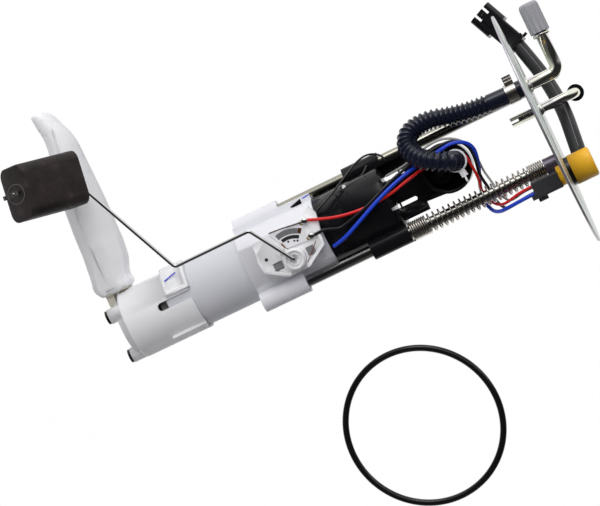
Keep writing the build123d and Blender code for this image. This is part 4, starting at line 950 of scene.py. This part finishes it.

# The outlet hose: blue-black nylon, blow-moulded with rings along all but its plain cuff, pushed on the supply
# tube and on the stub in the pump bracket's round cup. The real hose bends as the pump slides; here it is one fixed
# shape.

hose_route = [(-29.0, -2.0, 0.4), (-28.9, -2.0, -26.0), (-32.2, -3.0, -47.4), (-37.0, -6.0, -63.2),
              (-35.0, -13.0, -77.6), (-25.4, -21.5, -81.4), (-16.2, -30.0, -76.0), (-9.6, -33.5, -65.6),
              (-6.2, -29.4, -57.4), (-6.2, -20.0, -57.0)]
hose_bore, hose_cuff_dia, hose_cuff_length = 8.1, 11.4, 25.0
crest_dia, root_dia, crest_pitch = 13.0, 10.0, 3.35
ring_shape = ((0.10, root_dia), (0.44, root_dia), (0.64, crest_dia - 0.3), (0.72, crest_dia), (0.80, crest_dia - 0.3))
plain_end = 2.0


def route_line(route):
    """The smooth line of a cord's route of control points in millimetres."""
    mesh = curve_mesh(metres(route), 0.0, "route")
    points = [vertex.co.copy() for vertex in mesh.vertices]
    bpy.data.meshes.remove(mesh)
    return points


def line_length(points):
    return sum((b - a).length for a, b in zip(points, points[1:]))


def lay_along(form, points):
    """Bend a shape that stands up the Z axis on to a line."""
    reach = [0.0]
    for a, b in zip(points, points[1:]):
        reach.append(reach[-1] + (b - a).length)
    across = (points[1] - points[0]).orthogonal().normalized()
    sides = []
    for k in range(len(points)):
        ahead = (points[min(k + 1, len(points) - 1)] - points[max(k - 1, 0)]).normalized()
        across = square_to(ahead, across)
        sides.append((across, ahead.cross(across)))
    for vertex in form.verts:
        height = min(max(vertex.co.z, 0.0), reach[-1])
        k = max(index for index, value in enumerate(reach[:-1]) if value <= height)
        share = (height - reach[k]) / (reach[k + 1] - reach[k])
        first, second = sides[k][0].lerp(sides[k + 1][0], share), sides[k][1].lerp(sides[k + 1][1], share)
        centre = points[k].lerp(points[k + 1], share)
        vertex.co = centre + first * vertex.co.x + second * vertex.co.y
    return form


hose_line = route_line(hose_route)
hose_length = line_length(hose_line)
hose_top = hose_length / mm
hose_profile = [(hose_bore / 2, 0.0), (hose_cuff_dia / 2 - 0.4, 0.0), (hose_cuff_dia / 2, 0.5)]
hose_profile += [(hose_cuff_dia / 2, hose_cuff_length * step / 9) for step in range(1, 10)]
for crest in range(int((hose_top - hose_cuff_length - plain_end - 1.0) / crest_pitch)):
    foot = hose_cuff_length + crest * crest_pitch
    hose_profile += [(dia / 2, foot + share * crest_pitch) for share, dia in ring_shape]
hose_profile += [(root_dia / 2, hose_top - plain_end), (root_dia / 2, hose_top)]
bore_steps = int(hose_top / crest_pitch)
hose_profile += [(hose_bore / 2, hose_top * (1 - step / bore_steps)) for step in range(bore_steps)]
hose_plastic = mottled("hose_plastic", (0.006, 0.008, 0.018), (0.011, 0.014, 0.030), 90.0, 0.22)
hose_plastic.put({"Roughness": 0.12 + 0.12 * hose_plastic.noise(700.0)})
hose_form = lay_along(turned_form(hose_profile, 28, close=True), hose_line)
hose = add_piece("corrugated_hose", to_mesh(hose_form, "corrugated_hose", 60.0), hose_plastic, None,
                 "hose_plastic", "outlet_hose")
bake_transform(hose)
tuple(hose_line[0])

# The four wires from the plug under the flange to the pump and the level sender: stranded copper in coloured
# insulation, slack enough for the pump to slide up.

wire_routes = {
    "blue": [
        (9.0, -23.4, -148.2), (7.8, -27.6, -140.0), (2.0, -28.6, -126.5), (-5.0, -28.6, -110.5),
        (-10.6, -24.6, -95.0), (-13.8, -19.4, -80.5), (-15.8, -18.4, -66.0), (-17.6, -18.8, -53.0),
        (-10.8, -15.0, -43.2), (2.6, -9.0, -46.0), (13.0, -4.2, -51.0), (22.5, -3.4, -53.2),
        (31.5, -8.5, -51.2), (34.4, -17.0, -46.4), (33.9, -25.0, -38.5), (33.2, -27.9, -30.0),
        (33.0, -27.8, -21.8),
    ],
    "red": [
        (-12.8, -29.6, -155.3), (-9.6, -29.3, -147.5), (-6.0, -27.4, -136.5), (-4.2, -25.4, -124.0),
        (-3.9, -25.2, -112.0), (-5.2, -25.2, -101.0), (-8.0, -22.4, -90.0), (-10.6, -18.6, -78.0),
        (-12.0, -18.3, -66.5), (-12.8, -18.1, -57.0), (-8.4, -18.0, -50.6), (1.5, -18.4, -49.6),
        (10.5, -14.0, -49.4), (17.0, -7.3, -51.8), (25.4, -7.0, -50.0), (31.2, -13.2, -44.4),
        (30.4, -21.6, -37.0), (28.6, -27.0, -30.0), (28.4, -27.4, -21.8),
    ],
    "black": [
        (-2.6, -29.6, -155.3), (-3.3, -29.4, -149.4), (-1.4, -27.6, -144.6), (0.8, -26.0, -139.9),
        (-0.3, -26.2, -134.0), (-2.0, -26.8, -127.6), (-4.1, -27.7, -119.0), (-7.4, -26.9, -110.4),
        (-10.9, -25.4, -101.8), (-13.7, -23.4, -94.0), (-16.9, -18.7, -80.5), (-18.8, -17.8, -66.0),
        (-19.0, -14.4, -54.0), (-12.0, -14.6, -46.4), (-2.0, -13.4, -46.0), (8.0, -11.0, -48.4),
        (19.0, -6.2, -46.6), (27.0, -4.9, -46.4), (33.4, -10.8, -43.4), (34.4, -18.2, -39.0),
        (33.0, -23.4, -31.4), (32.5, -24.0, -21.8),
    ],
    "white": [
        (-16.5, -6.5, -101.6), (-16.9, -7.6, -92.5), (-18.6, -13.0, -82.0), (-22.4, -14.8, -70.0),
        (-22.4, -14.2, -57.5), (-14.6, -10.8, -47.0), (-4.0, -8.6, -44.8), (6.5, -4.6, -45.4),
        (16.0, -5.4, -43.4), (25.6, -7.4, -42.0), (31.0, -13.8, -38.2), (30.4, -20.4, -32.6),
        (29.2, -23.8, -28.0), (29.2, -24.0, -21.8),
    ],
}
wire_looks = {
    "blue": (2.5, (0.012, 0.06, 0.62)),
    "red": (1.95, (0.74, 0.012, 0.012)),
    "black": (2.0, (0.010, 0.010, 0.012)),
    "white": (1.5, (0.42, 0.42, 0.40)),
}
for colour_name, wire_route in wire_routes.items():
    wire_dia, wire_colour = wire_looks[colour_name]
    insulation = Finish(colour_name + "_insulation", wire_colour, 0.3)
    insulation.put({"Roughness": 0.22 + 0.2 * insulation.noise(300.0)})
    wire_name = "insulated_wire_" + colour_name
    wire_mesh = curve_mesh(metres(wire_route), wire_dia / 2 * mm, wire_name, sides=4)
    wire = add_piece(wire_name, wire_mesh, insulation, None, colour_name + "_insulation", "wire_" + colour_name)
    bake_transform(wire)
    wire_line = route_line(wire_route)
    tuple(wire_line[-1])
    line_length(wire_line)

# The lead on top: four wires in a black sheath that is slit along its length, from the yellow turret to the
# four-way connector. The slit is drawn as a thin paler line on the lead's side that faces the camera and the light,
# so its paleness is a painted highlight.

lead_route = [(24.1, -21.9, 13.0), (11.0, -12.0, 14.2), (1.5, -1.5, 15.2), (-7.0, 11.0, 15.4), (-17.0, 24.5, 14.8),
              (-29.0, 37.5, 13.2), (-42.5, 50.0, 10.2), (-56.5, 61.0, 6.4)]
lead_dia = 9.6
sheath = mottled("sheath_plastic", (0.012, 0.012, 0.014), (0.022, 0.022, 0.024), 50.0, 0.42, Specular_IOR_Level=0.3)
sheath.bump(sheath.noise(1200.0, 2.0), 0.00002)
lead_mesh = curve_mesh(metres(lead_route), lead_dia / 2 * mm, "sheathed_lead", sides=6)
lead = add_piece("sheathed_lead", lead_mesh, sheath, "flange", "sheath_plastic", "lead_sheath")
lead_line = route_line(lead_route)
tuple(lead_line[0])
line_length(lead_line)

slit_points = []
for before, here, after in zip(lead_line, lead_line[1:], lead_line[2:]):
    outward = square_to((after - before).normalized(), picture_up * 0.25 - forward)
    slit_points.append(here + outward * lead_dia / 2 * mm)
# The slit's paler grey is a painted highlight on the side towards the camera and the light.
slit_highlight_paint = mottled("sheath_slit_highlight", (0.12, 0.12, 0.14), (0.22, 0.22, 0.24), 200.0, 0.5)
slit_mesh = curve_mesh(slit_points, 0.3 * mm, "sheath_slit_highlight", "POLY", 1)
add_piece("sheath_slit_highlight", slit_mesh, slit_highlight_paint, "flange", "sheath_plastic")
